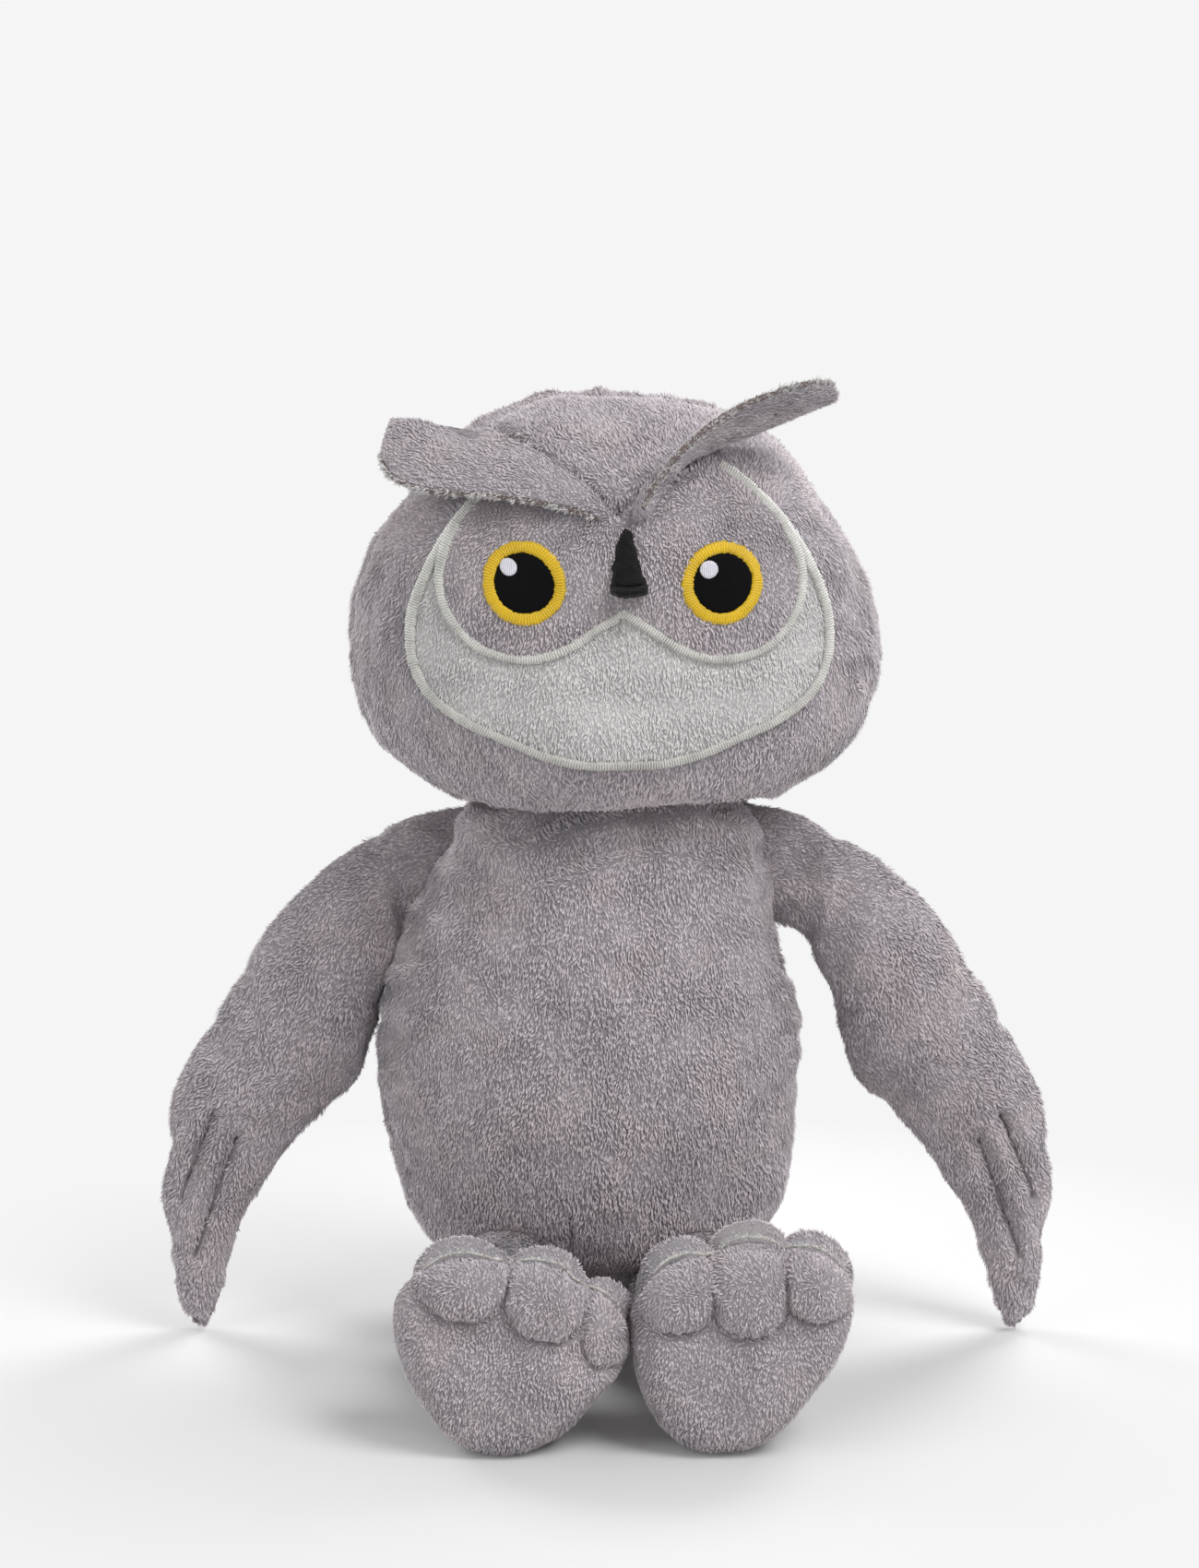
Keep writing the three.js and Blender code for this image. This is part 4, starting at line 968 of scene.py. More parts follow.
def face_line(count=140):
    return mirrored(FACE_HALF, FACE_SIZE, count)


def mask_line(count=120):
    return mirrored(MASK_HALF, MASK_SIZE, count)


def brow_seam(side, shares):
    """Points of the seam that a brow flap is sewn into, from the V's point up to the crown."""
    return [Head.front(side * s * BROW_SPREAD, BROW_POINT + s * BROW_DROP, Head.smooth) for s in shares]


CROWN_SCALLOP_PITCH = 15
CROWN_FLAT = 2.2
CHIN_GATHER_DEPTH = 1.1
CHIN_GATHER_HEIGHT = 71
HEAD_PILE_BOTTOM = 20.5


def make_head():
    far_side = HEAD_GRID[1] // 2
    rings = standing(HEAD_ROWS, HEAD_SIZE, *HEAD_GRID) + HEAD_PLACE
    rings = stuffed(rings, spread=5, cap=1.1, seams=(0, far_side))
    cover = loft("head_cover", rings)
    Head.smooth = tree_of(cover)
    points = corners_of(cover)
    x, y, z = points.T
    depth, width = mm(sizes().seam_depth), mm(sizes().seam_width)
    amounts = np.zeros(len(points))
    for side, column in ((-1, far_side), (1, 0)):
        line = [p for p, _ in brow_seam(side, np.linspace(0, 0.68, 12))]
        amounts += seam(points, line, depth, width, seed=20 + side)
        amounts += seam(points, rings[8:205:4, column], 0.8 * depth, width, seed=30 + side)
    top = smooth_step(-30, -22, x) * smooth_step(36, 30, x) * (z > 110)
    scallops = np.abs(np.sin((x - 4) * math.pi / CROWN_SCALLOP_PITCH))
    amounts += top * (-1.1 * bell(y + 4, 1.8) + 1.3 * scallops * bell(y - 1.5, 4.5))
    amounts += 0.8 * lumps(points, 62, 8) + 0.25 * lumps(points, 19, 9)
    amounts -= CROWN_FLAT * smooth_step(122, 131, z)
    amounts -= CHIN_GATHER_DEPTH * (bell(x, 1.6) * bell(z - CHIN_GATHER_HEIGHT, 4.5) * (y < 0))
    press(cover, amounts)
    Head.tree = tree_of(cover)
    outline = face_outline()

    def off_the_face(p, n):
        return ~(inside(p[:, [0, 2]], outline) & (p[:, 1] < 0)) & (p[:, 2] > HEAD_PILE_BOTTOM)

    pile = grow_pile("head_pile", cover, down_nap, seed=12, keep=off_the_face)
    for piece in (cover, pile):
        move_corners(piece, from_head(corners_of(piece)))
    stuff("head_stuffing", rings_of(cover, rings), 5.0, ["head_filling"], "head")
    finish_grey(cover, "head", ["head_face_panel", "head_crown_panel", "head_back_panel"])
    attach(pile, "head")


def face_outline():
    """The closed outline of all that is sewn to the face, up to the brow seams."""
    return np.vstack([face_line(60), brow_line()])


def brow_line():
    """The line just under both brow seams, from the owl's left to its right."""
    shares = np.array([0.58, 0.4, 0.2, 0.0, -0.2, -0.4, -0.58])
    return np.stack([BROW_SPREAD * shares, BROW_POINT + BROW_DROP * np.abs(shares) - 1.5], axis=1)


def mask_outline():
    """The closed outline of the grey patch round the eyes."""
    lower = mask_line(60)
    face = face_line(200)
    above = face[:, 1] > lower[-1, 1] + 1
    right = face[above & (face[:, 0] > 0)]
    left = face[above & (face[:, 0] < 0)]
    return np.vstack([lower, right, brow_line(), left])


PATCH_SKIRT = 0.6
PATCH_RIM = 1.2


def patch(name, outline, heart, rings, thickness, level):
    """A cloth patch laid on the head inside a flat outline, rounded down at its rim."""
    shares = np.linspace(0, 1, rings) ** 0.7
    flat = heart + (outline[None] - heart) * shares[::-1, None, None]
    points, normals = (found.reshape(rings, -1, 3) for found in Head.under(flat.reshape(-1, 2)))
    rim = np.linalg.norm(flat - flat[:1], axis=-1)
    height = level + thickness * np.sqrt(np.clip(rim / PATCH_RIM, 0, 1))
    top = points + normals * height[..., None]
    skirt = points[:1] - normals[:1] * PATCH_SKIRT
    return loft(name, np.concatenate([skirt, top], axis=0), ends=(False, True))


SATIN_STEPS = 4
SATIN_SPOTS = 9


def satin(name, line, width, height, level, closed=False):
    """Satin stitch along a flat line on the face: each stitch lies across it, over a padded ridge."""
    pitch = mm(sizes().stitch_pitch) / SATIN_STEPS
    line = np.asarray(line, float)
    whole = np.vstack([line, line[:1]]) if closed else line
    lengths = np.concatenate([[0], np.cumsum(np.linalg.norm(np.diff(whole, axis=0), axis=1))])
    at = np.linspace(0, lengths[-1], int(lengths[-1] / pitch), endpoint=not closed)
    flat = np.stack([np.interp(at, lengths, whole[:, k]) for k in range(2)], axis=1)
    ahead = np.roll(flat, -1, axis=0) if closed else np.gradient(flat, axis=0) + flat
    behind = np.roll(flat, 1, axis=0) if closed else flat - np.gradient(flat, axis=0)
    tangent = unit(ahead - behind)
    across = np.stack([-tangent[:, 1], tangent[:, 0]], axis=1)
    rng = np.random.default_rng(len(name))
    stitch = (at / (SATIN_STEPS * pitch)).astype(int)
    wander = 1 + 0.07 * rng.normal(size=stitch.max() + 1)[stitch]
    round_share = np.abs(np.sin(at * math.pi / (SATIN_STEPS * pitch)))
    strands = []
    # shine paints light on each stitch where it rises, and shade between the stitches and towards the sides;
    # the two edge strands get none, as painted shade along the band's edges.
    for u in np.linspace(-1, 1, SATIN_SPOTS):
        lift = level + height * math.sqrt(max(1 - u * u, 0)) ** 0.8 * (0.62 + 0.38 * round_share)
        strands.append((u, lift, round_share * (1 - 0.35 * abs(u))))
    for u in (0.9, -0.9):
        strands.append((u, np.full(len(at), level - 0.5), round_share * 0))
    grid = []
    for u, lift, _ in strands:
        points, normals = Head.under(flat + across * (u * width / 2 * wander)[:, None])
        grid.append(points + normals * lift[:, None])
    rings, lit = np.stack(grid, axis=1), np.stack([shine for _, _, shine in strands], axis=1)
    if closed:
        rings, lit = (np.concatenate([rows, rows[:1]], axis=0) for rows in (rings, lit))
    band = loft(name, rings, ends=(not closed, not closed))
    give_values(band, "stitch", np.append(lit.ravel(), np.zeros(len(band.data.vertices) - lit.size)))
    return band


def settle(obj, material, replaces=()):
    """Moves a piece made in the head's frame to its place on the head."""
    move_corners(obj, from_head(corners_of(obj)))
    return finish(obj, material, "head", replaces)


PATCH_THICKNESS = 0.9
FACE_HEART = np.array([0.0, 70.0])
MASK_HEART = np.array([0.0, 88.0])
FACE_PILE_LENGTH = 1.8
# Steepest part of a patch that still carries pile, as its normal's reach towards the back.
RIM_SLOPE = 0.2


def make_face():
    mask_edge = mask_outline()
    pale = patch("face_patch_cloth", face_outline(), FACE_HEART, 46, PATCH_THICKNESS, level=0.0)
    mask = patch("eye_mask_cloth", mask_edge, MASK_HEART, 40, PATCH_THICKNESS, level=0.8)

    def off_the_mask(p, n):
        return ~inside(p[:, [0, 2]], mask_edge) & (n[:, 1] < RIM_SLOPE)

    def off_the_eyes(p, n):
        return clear_of_eyes(p) & (n[:, 1] < RIM_SLOPE)

    pale_pile = grow_pile("face_patch_pile", pale, down_nap, 13, off_the_mask, FACE_PILE_LENGTH, "pale_plush")
    mask_pile = grow_pile("eye_mask_pile", mask, down_nap, 14, off_the_eyes, FACE_PILE_LENGTH)
    settle(pale, pale_plush(), ["face_patch"])
    settle(mask, grey_plush(), ["eye_mask_patch"])
    settle(pale_pile, pale_plush(True))
    settle(mask_pile, grey_plush(True))
    border_thread = thread("Border thread", colours().border, 0.45)
    for name, line, level, node_name in (
        ("face_border", face_line(), 1.1, "face_border_stitching"),
        ("mask_border", mask_line(), 1.5, "mask_border_stitching"),
    ):
        settle(satin(name, line, SATIN_WIDTH, 1.1, level), border_thread, [node_name])


def clear_of_eyes(points):
    clear = np.ones(len(points), bool)
    for side in (-1, 1):
        away = np.hypot(points[:, 0] - FACE_SHIFT - side * EYE_SPACING / 2, points[:, 2] - EYE_HEIGHT)
        clear &= away > EYE_RADIUS - 1.2
    return clear


def circle(x, z, radius, count=120):
    angle = full_turn(count)
    return np.stack([x + radius * np.cos(angle), z + radius * np.sin(angle)], axis=1)


def make_eyes():
    c = colours()
    yellow = thread("Yellow thread", c.yellow, 0.72)
    black = thread("Black thread", c.black, 0.3, roughness=0.85, sheen=0.0, specular=0.12)
    white = thread("White thread", c.white, 0.75)
    slant = GLINT_OFFSET * math.sqrt(0.5)
    middle, width = (EYE_RADIUS + PUPIL_RADIUS) / 2, EYE_RADIUS - PUPIL_RADIUS + 0.5
    for name, side in (("left", 1), ("right", -1)):
        x = FACE_SHIFT + side * EYE_SPACING / 2
        ring = satin(f"{name}_eye_satin", circle(x, EYE_HEIGHT, middle), width, 0.9, 1.9, True)
        settle(ring, yellow, [f"{name}_eye_ring"])
        pupil = stitched_disc(f"{name}_pupil_satin", x, EYE_HEIGHT, PUPIL_RADIUS, height=0.7, level=2.0)
        settle(pupil, black, [f"{name}_pupil"])
        glint = stitched_disc(f"{name}_glint_satin", x - slant, EYE_HEIGHT + slant, GLINT_RADIUS, 0.5, 2.7)
        settle(glint, white, [f"{name}_eye_glint"])


DISC_RINGS = 26
DISC_ROW_PITCH = 0.55
DISC_SKIRT = 1.2


def stitched_disc(name, x, z, radius, height, level):
    """A disc filled with rows of upright stitches, slightly domed, with a skirt that closes its rim."""
    grid, lit = [], []
    for share in np.linspace(1, 0.02, DISC_RINGS):
        flat = circle(x, z, radius * share)
        points, normals = Head.under(flat)
        rows = 0.5 + 0.5 * np.cos((flat[:, 0] - x) * 2 * math.pi / DISC_ROW_PITCH)
        lift = level + height * math.sqrt(max(1 - share**4, 0)) + 0.12 * rows - 0.06
        # rows also paints light on each row's crest and shade in its furrow; the skirt gets none, as painted
        # shade under the rim.
        if not grid:
            grid.append(points + normals * (level - DISC_SKIRT))
            lit.append(rows * 0)
        grid.append(points + normals * lift[:, None])
        lit.append(rows)
    disc = loft(name, np.stack(grid), ends=(False, True))
    give_values(disc, "stitch", np.append(np.stack(lit).ravel(), 0.5))
    return disc


# Rows of the beak: height, half width, and reach to the front and the back.


BEAK_ROWS = [
    (0.0, 0.55, 0.55),
    (0.03, 0.95, 1.0),
    (0.1, 1.06, 1.12),
    (0.2, 1.0, 0.98),
    (0.32, 0.9, 0.86),
    (0.5, 0.76, 0.76),
    (0.75, 0.52, 0.6),
    (0.93, 0.3, 0.45),
    (1.0, 0.1, 0.2),
]


def make_beak():
    """A cone of black cloth, folded over at its wide end, where the fold curls out."""
    foot, _ = Head.front(BEAK_SHIFT, BEAK_TOP - BEAK_SIZE[2])
    top, _ = Head.front(BEAK_SHIFT, BEAK_TOP)
    rows = [(up, wide, reach, reach) for up, wide, reach in BEAK_ROWS]
    rings = standing(rows, BEAK_SIZE, *BEAK_GRID, squareness=2.6)
    share = rings[..., 2] / BEAK_SIZE[2]
    front = np.clip(-rings[..., 1] / BEAK_SIZE[1], 0, 1)
    rings[..., 0] += BEAK_SHIFT + 1.0 * bell(share, 0.3)
    rings[..., 1] += foot[1] + share * (top[1] - foot[1]) - 1.2
    corner = np.abs((rings[..., 0] - BEAK_SHIFT) / BEAK_SIZE[0])
    rings[..., 2] += foot[2] + 0.9 * corner * bell(share, 0.25) * front
    fold = bell(share - 0.17, 0.025) * smooth_step(0.15, 0.6, front)
    curl = bell(share - 0.09, 0.06) * smooth_step(0.2, 0.8, front)
    rings[..., 1] += 0.9 * fold - 0.8 * curl
    beak = loft("beak_fold", rings)
    press(beak, 0.12 * lumps(corners_of(beak), 2.6, 15))
    settle(beak, woven("Beak cloth", colours().beak, 0.45, 420), ["beak"])


# Brow flaps

# Root and free edge of a brow flap, as shares of its length and depth.
BROW_ROOT = [
    (0.015, -0.01), (0.16, -0.05), (0.32, -0.05), (0.48, -0.05), (0.62, -0.02), (0.78, 0.13), (0.92, 0.27),
    (1.04, 0.42),
]
BROW_FREE = [
    (0.025, 0.1), (0.14, 0.27), (0.28, 0.48), (0.42, 0.68), (0.56, 0.84), (0.7, 0.94), (0.83, 0.94),
    (0.95, 0.78),
]


def brow_frame(brow):
    """The frame of a brow's hinge: along its seam, across the flap and out of it."""
    start, middle, end = brow_seam(brow["side"], BROW_SEAM_SHARES)
    along = unit(end[0] - start[0])
    out = unit(middle[1] - along * (middle[1] @ along))
    down = np.cross(out, along) * -brow["side"]
    basis = np.stack([along * -brow["side"], down, out], axis=1)
    turn = np.array(Matrix.Rotation(brow["lift"], 3, "X"))
    return middle[0] + out * BROW_SEAM_RISE, basis @ turn


def brow_edge(shares, brow, count):
    line = smooth_rows(shares, np.linspace(0, 1, count))
    seam_half = BROW_SEWN_SHARE * BROW_SIZE[0] / 2
    x = line[:, 0] * BROW_SIZE[0] - seam_half
    bent = np.clip(x, -seam_half, seam_half)
    x = bent + (x - bent) * brow["reach"]
    fall = (bent**2 / 2 + (x - bent) * bent * brow["tip"]) / brow["curve"]
    out = -fall - line[:, 1] ** 2 * BROW_CURL
    return np.stack([-brow["side"] * x, line[:, 1] * BROW_SIZE[1], out], axis=1)


BROW_BLEND = (-1.0, 7.0)
BROW_PILE_LENGTH = 1.6
BROW_EDGE_BARE = 0.9
BROW_FRINGE_LENGTHS = (0.7, 2.1)


def brow_rings(root, free):
    """Rings of a brow flap, a flat cushion that thins towards both ends and the free edge."""
    count, around = BROW_GRID
    u, v = np.cos(full_turn(around)), soften(np.sin(full_turn(around)), 2.6)
    pinch = 1 - 0.5 * np.maximum(u, 0)
    share = np.linspace(0, 1, count)
    taper = np.sqrt(np.clip(np.minimum(share / 0.05, (1 - share) / 0.05), 0.05, 1))
    rings = ((root + free) / 2)[:, None] + ((root - free) / 2)[:, None] * u[None, :, None]
    rings[..., 2] += BROW_SIZE[2] / 2 * (v * pinch)[None] * taper[:, None]
    return rings


def make_brows():
    for name, brow in BROWS.items():
        side = brow["side"]
        origin, basis = brow_frame(brow)
        root, free = (brow_edge(edge, brow, BROW_GRID[0]) for edge in (BROW_ROOT, BROW_FREE))
        flap = loft(f"{name}_flap", brow_rings(root, free))
        points = corners_of(flap)
        distance, _ = to_line(points, np.vstack([free, root[::-1]]))
        press(flap, 0.25 * lumps(points, 14, 40 + side) - 0.3 * bell(distance - 2.2, 0.7))
        pile = grow_pile(f"{name}_pile", flap, steady_nap(-side * 1.0, 0.35, 0.0), 42 + side,
                         lambda p, n, edge=free: to_line(p, edge)[0] > BROW_EDGE_BARE, BROW_PILE_LENGTH)
        raw = raw_edge(f"{name}_raw_edge", free, (0.6, 1.3), "Raw edge", colours().raw_edge)
        out = (-side * 0.25, 1.0, -0.1)
        tufts = fringe(f"{name}_fringe", free, out, 60 + side, BROW_FRINGE_LENGTHS, 2200)
        for piece in (flap, pile, raw, tufts):
            move_corners(piece, from_head(corners_of(piece) @ basis.T + origin))
        inward, outward = (from_head(np.array([[0.0, y, 0.0]]) @ basis.T + origin)[0] for y in BROW_BLEND)
        finish_grey(flap, None, [f"{name}_top_layer", f"{name}_under_layer"])
        bend((flap, pile, raw, tufts), "head", name, inward, outward)


def raw_edge(name, line, half, cloth_name, colour):
    """The cut backing that shows as a thin line where two cloths are sewn edge to edge."""
    dense = smooth_rows(line, np.linspace(0.02, 0.97, 420))
    rng = np.random.default_rng(len(name))
    rough = 0.6 + 0.1 * lumps(dense, 1.6, 50) + 0.06 * rng.normal(size=len(dense))
    angle = full_turn(8)
    ring = np.stack([0 * angle, np.cos(angle) * half[0], np.sin(angle) * half[1]], axis=1)
    rings = dense[:, None] + ring[None] * np.clip(rough, 0.35, 0.85)[:, None, None] + [0, 0.25, 0]
    band = loft(name, rings)
    give_values(band, "stitch", np.random.default_rng(3).uniform(size=len(band.data.vertices)))
    return finish(band, thread(cloth_name, colour, 0.7, 0.9))


FIBRE_HALF_WIDTH = 0.17


def fringe(name, line, way, seed, lengths, count):
    """Backing fibres that stick out along a cut edge, in small clumps."""
    rng = np.random.default_rng(seed)
    share = rng.uniform(0.03, 0.97, size=count)
    base = smooth_rows(line, share) + rng.normal(scale=(0.25, 0.15, 0.5), size=(count, 3))
    thick = 0.65 + 0.35 * np.sin(share * 95 + 4 * np.sin(share * 23))[:, None]
    tall = rng.uniform(*lengths, size=(count, 1)) * thick
    way = unit(np.array(way) + rng.normal(scale=0.35, size=(count, 3)))
    across = unit(np.cross(way, rng.normal(size=(count, 3))))
    belly = base + 0.4 * tall * way
    half = FIBRE_HALF_WIDTH * across
    leaves = np.stack([base, belly - half, belly + half, base + way * tall], axis=1)
    return finish(make_clumps(name, leaves, rng, FRINGE_HEIGHTS), pale_plush(True))


# Wings

def wing_edge(shares, side, count):
    line = smooth_rows(shares, np.linspace(0, 1, count))
    x = side * (SHOULDER[0] + line[:, 0] * WING_SPAN) + NECK[0]
    return np.stack([x, 0 * x, SHOULDER[1] + (line[:, 1] - 1) * WING_DROP], axis=1)


# Rings at the shoulder that the filling leaves free for the swing.
WING_FILLING_START = 52
# Places across and above the neck's middle, at the shoulder.
WING_BLEND = ((39, 140), (56, 136.4))
FEATHER_SEAM_BARE = 0.55


# Crease and valley along the feather seams as shares of the crease depth, and their half widths.
FEATHER_CREASE = (0.7, 0.65)
FEATHER_VALLEY = (0.3, 2.6)
# Height, distance from the seam and half width of the roll beside it.
FEATHER_ROLL = (0.7, 4.2, 2.2)
# Depth and half width of the dimple at a feather seam's end, and of the seam round the rim.
FEATHER_DIMPLE = (0.9, 2.6)
WING_RIM_SEAM = (0.7, 0.8)


def wing_rings(leading, trailing):
    """Rings of a wing, a cushion between its two edges."""
    count, around = WING_GRID
    u, v = np.cos(full_turn(around)), soften(np.sin(full_turn(around)), 2.15)
    full = smooth_rows(WING_FULLNESS, np.linspace(0, 1, count))[:, 0] * WING_THICKNESS / 2
    rings = (leading + trailing)[:, None] / 2 + (leading - trailing)[:, None] / 2 * u[None, :, None]
    rings[..., 1] += full[:, None] * v[None]
    return stuffed(round_tip(rings), spread=4, cap=1.0, seams=(0, around // 2))


def wing_relief(points, side):
    """Lumps of the filling, the seams that part the feathers and the seam round the rim."""
    depth = mm(sizes().crease_depth)
    amounts = 0.35 * lumps(points, 38, 70 + side) + 0.12 * lumps(points, 11, 72 + side)
    for line in FEATHER_LINES:
        places = wing_edge(line, side, 12)
        distance, along = to_line(points, places, flat=True)
        length = np.linalg.norm(np.diff(places, axis=0), axis=1).sum()
        crease, valley = FEATHER_CREASE, FEATHER_VALLEY
        amounts -= crease[0] * depth * bell(distance, crease[1]) * (1 + 0.15 * np.sin(along * 2.2))
        amounts -= valley[0] * depth * bell(distance, valley[1])
        height, away, width = FEATHER_ROLL
        amounts += height * bell(distance - away, width)
        end = np.linalg.norm(points[:, [0, 2]] - places[0, [0, 2]] + [side * 2.0, -1.0], axis=1)
        amounts -= FEATHER_DIMPLE[0] * bell(end, FEATHER_DIMPLE[1]) * smooth_step(length, 0, along)
    return amounts - WING_RIM_SEAM[0] * bell(np.abs(points[:, 1]), WING_RIM_SEAM[1])


def make_wings():
    for name, side in (("right_wing", -1), ("left_wing", 1)):
        leading, trailing = (wing_edge(edge, side, WING_GRID[0]) for edge in (WING_LEADING, WING_TRAILING))
        rings = wing_rings(leading, trailing)
        cover = loft(f"{name}_cover", rings)
        press(cover, wing_relief(corners_of(cover), side))
        ways = unit(np.gradient((leading + trailing) / 2, axis=0))
        heights = (leading + trailing)[:, 2] / 2
        order = np.argsort(heights)

        def wing_nap(p, n, ways=ways[order], heights=heights[order]):
            return np.stack([np.interp(p[:, 2], heights, ways[:, k]) for k in range(3)], axis=1)

        sewn = [wing_edge(line, side, 12) for line in FEATHER_LINES]

        def off_the_seams(p, n, sewn=sewn):
            return np.minimum(*(to_line(p, line, flat=True)[0] for line in sewn)) > FEATHER_SEAM_BARE

        pile = grow_pile(f"{name}_pile", cover, wing_nap, 74 + side, off_the_seams)
        stuff(f"{name}_stuffing", rings_of(cover, rings)[WING_FILLING_START:], 3.4, [f"{name}_filling"], name)
        finish_grey(cover, None, [f"{name}_front_panel", f"{name}_back_panel"])
        start, end = (np.array([side * out + NECK[0], 0, up]) for out, up in WING_BLEND)
        bend((cover, pile), "body", name, start, end)


def round_tip(rings):
    """Draws the last rings in, so that the wing ends in a round tip."""
    share = np.linspace(0, 1, len(rings))
    shrink = np.sqrt(np.clip((1 - share) / 0.05, 0.0, 1))
    middle = rings.mean(axis=1, keepdims=True)
    return middle + (rings - middle) * np.maximum(shrink, 0.08)[:, None, None]


# Legs and feet

LEGS = {
    "right": {
        "side": -1, "lean": 5.5, "half": (30.7, 26.3), "roll": math.radians(10), "slant": 0.2,
        "toes": [(0.46, 0.72, 0.4, 0.36), (-0.28, 0.68, 0.34, 0.38), (-0.93, 0.54, 0.31, 0.43)],
    },
    "left": {
        "side": 1, "lean": 12.5, "half": (28.8, 28.7), "roll": 0.0, "slant": 0.0,
        "toes": [(0.7, 0.62, 0.35, 0.32), (0.04, 0.55, 0.345, 0.38), (-0.63, 0.55, 0.36, 0.36)],
    },
}


def joint_place(name):
    return np.array(JOINTS[name]["pos_m"]) / MM


# Rings at the hip that the filling leaves free for the swing.
LEG_FILLING_START = 42
LEG_SETBACK = 8
LEG_LOWEST = 1.9
LEG_PILE_BOTTOM = 2.6
ANKLE_GATHER_PITCH = 8
# Places behind and in front of a joint.
HIP_BLEND = ([0, 3, 0], [0, -12, 0])
ANKLE_BLEND = ([0, 4, 0], [0, -10, 0])


def make_legs():
    for name, leg in LEGS.items():
        hip = joint_place(f"{name}_leg_drop")
        x, across, along = np.moveaxis(standing(LEG_ROWS, LEG_SIZE, *LEG_GRID), -1, 0)
        rings = np.stack([x + along * leg["lean"] / LEG_SIZE[2], -along, across], axis=-1)
        rings = stuffed(rings + hip + [0, LEG_SETBACK, 0], spread=5, cap=1.4)
        cover = loft(f"{name}_leg_plush", rings)
        points = corners_of(cover)
        folds = np.sin((points[:, 1] + 0.5 * lumps(points, 30, 80)) * 2 * math.pi / ANKLE_GATHER_PITCH)
        folds = 0.35 * folds * smooth_step(-60, -75, points[:, 1])
        press(cover, folds + 0.5 * lumps(points, 26, 81 + leg["side"]))
        points = corners_of(cover)
        points[:, 2] = np.maximum(points[:, 2], LEG_LOWEST)
        move_corners(cover, points)
        pile = grow_pile(f"{name}_leg_pile", cover, steady_nap(0.0, -1.0, -0.2), 83 + leg["side"],
                         lambda p, n: p[:, 2] > LEG_PILE_BOTTOM)
        inner = rings_of(cover, rings)[LEG_FILLING_START:]
        stuff(f"{name}_leg_stuffing", inner, 3.5, [f"{name}_leg_filling"], f"{name}_leg")
        finish_grey(cover, None, [f"{name}_leg_cover"])
        bend((cover, pile), "body", f"{name}_leg", *(hip + place for place in HIP_BLEND))


def foot_form(leg):
    """Rings of a foot from the ankle side over its seam to the middle of the sole."""
    side, (half_width, half_height) = leg["side"], leg["half"]
    outline = smooth_loop(FOOT_OUTLINE, FOOT_AROUND) * [side * half_width, half_height]
    outline[:, 0] -= side * leg["slant"] * half_width * outline[:, 1] / half_height
    heart = np.array([0.0, -0.35 * half_height])
    half = FOOT_THICKNESS / 2
    upper, sole = np.linspace(0.1, 1.0, UPPER_RINGS) ** 0.6, np.linspace(1.0, 0.02, SOLE_RINGS) ** 0.6
    rings = []
    for shares, face, squareness in ((upper, -1, 3.2), (sole[1:], 1, 4.0)):
        for share in shares:
            height = half * math.sqrt(max(1 - share**squareness, 0))
            flat = heart + (outline - heart) * share
            rings.append(np.stack([flat[:, 0], np.full(len(flat), -face * height), flat[:, 1]], axis=1))
    return np.array(rings)


# How far the toes move the cloth, as shares of the crease depth.
TOE_RISE = 1.5
SOLE_SINK = 0.6
TOE_CREASE = 0.35
TOE_SEAM = 0.85
TOE_CREST = 1.8
TOE_DIP = 0.35
TOE_CREASE_WIDTH = 0.8
TOE_SEAM_WIDTH = 1.1
TOE_SQUARENESS = 2.5


def toe_bulges(points, across, up, leg, on_sole):
    """How far the toes swell out of the sole, and what their seam and the upper do along their tops."""
    half_width = leg["half"][0]
    depth = mm(sizes().crease_depth)
    height = np.zeros(len(points))
    gap = np.full(len(points), 9.0)
    crests = np.zeros(len(points))
    for x, z, wide, tall in leg["toes"]:
        away = np.abs((across - x) / wide) ** TOE_SQUARENESS + np.abs((up - z) / tall) ** TOE_SQUARENESS
        away = away ** (1 / TOE_SQUARENESS)
        height = np.maximum(height, np.clip(1 - away**2.2, 0, 1) ** 0.62)
        gap = np.minimum(gap, (away - 1) * wide * half_width)
        crests = np.maximum(crests, np.clip(1 - ((across - x) / wide) ** 2, 0, 1) ** 0.5)
    top = smooth_step(0.3, 0.62, up)
    toes = smooth_step(-0.1, 0.25, up)
    crease = TOE_CREASE * depth * bell(gap, TOE_CREASE_WIDTH)
    bulge = on_sole * (TOE_RISE * depth * height - SOLE_SINK * depth * toes - crease)
    seam_line = -TOE_SEAM * depth * bell(points[:, 1], TOE_SEAM_WIDTH) * top
    upper = depth * top * (1 - on_sole) * bell(points[:, 1] - 5.5, 5.5) * (TOE_CREST * crests - TOE_DIP)
    return seam_line + upper, bulge, gap


FOOT_PILE_LENGTH = 1.6
TOE_EDGE_PLACE = [0, -1.2, 1.9]
TOE_TOPS = 0.52
FOOT_FILLING_SHARES = [0.74, 0.46, 0.74]
# Height of a foot's lowest corner before the sole is pressed flat at the floor, and the height there.
FOOT_SINK = -0.9
FOOT_LOWEST = 0.1
FOOT_AHEAD = 5.0
FOOT_OUTWARD = 1.5
TOE_FRINGE_LENGTHS = (0.6, 1.4)


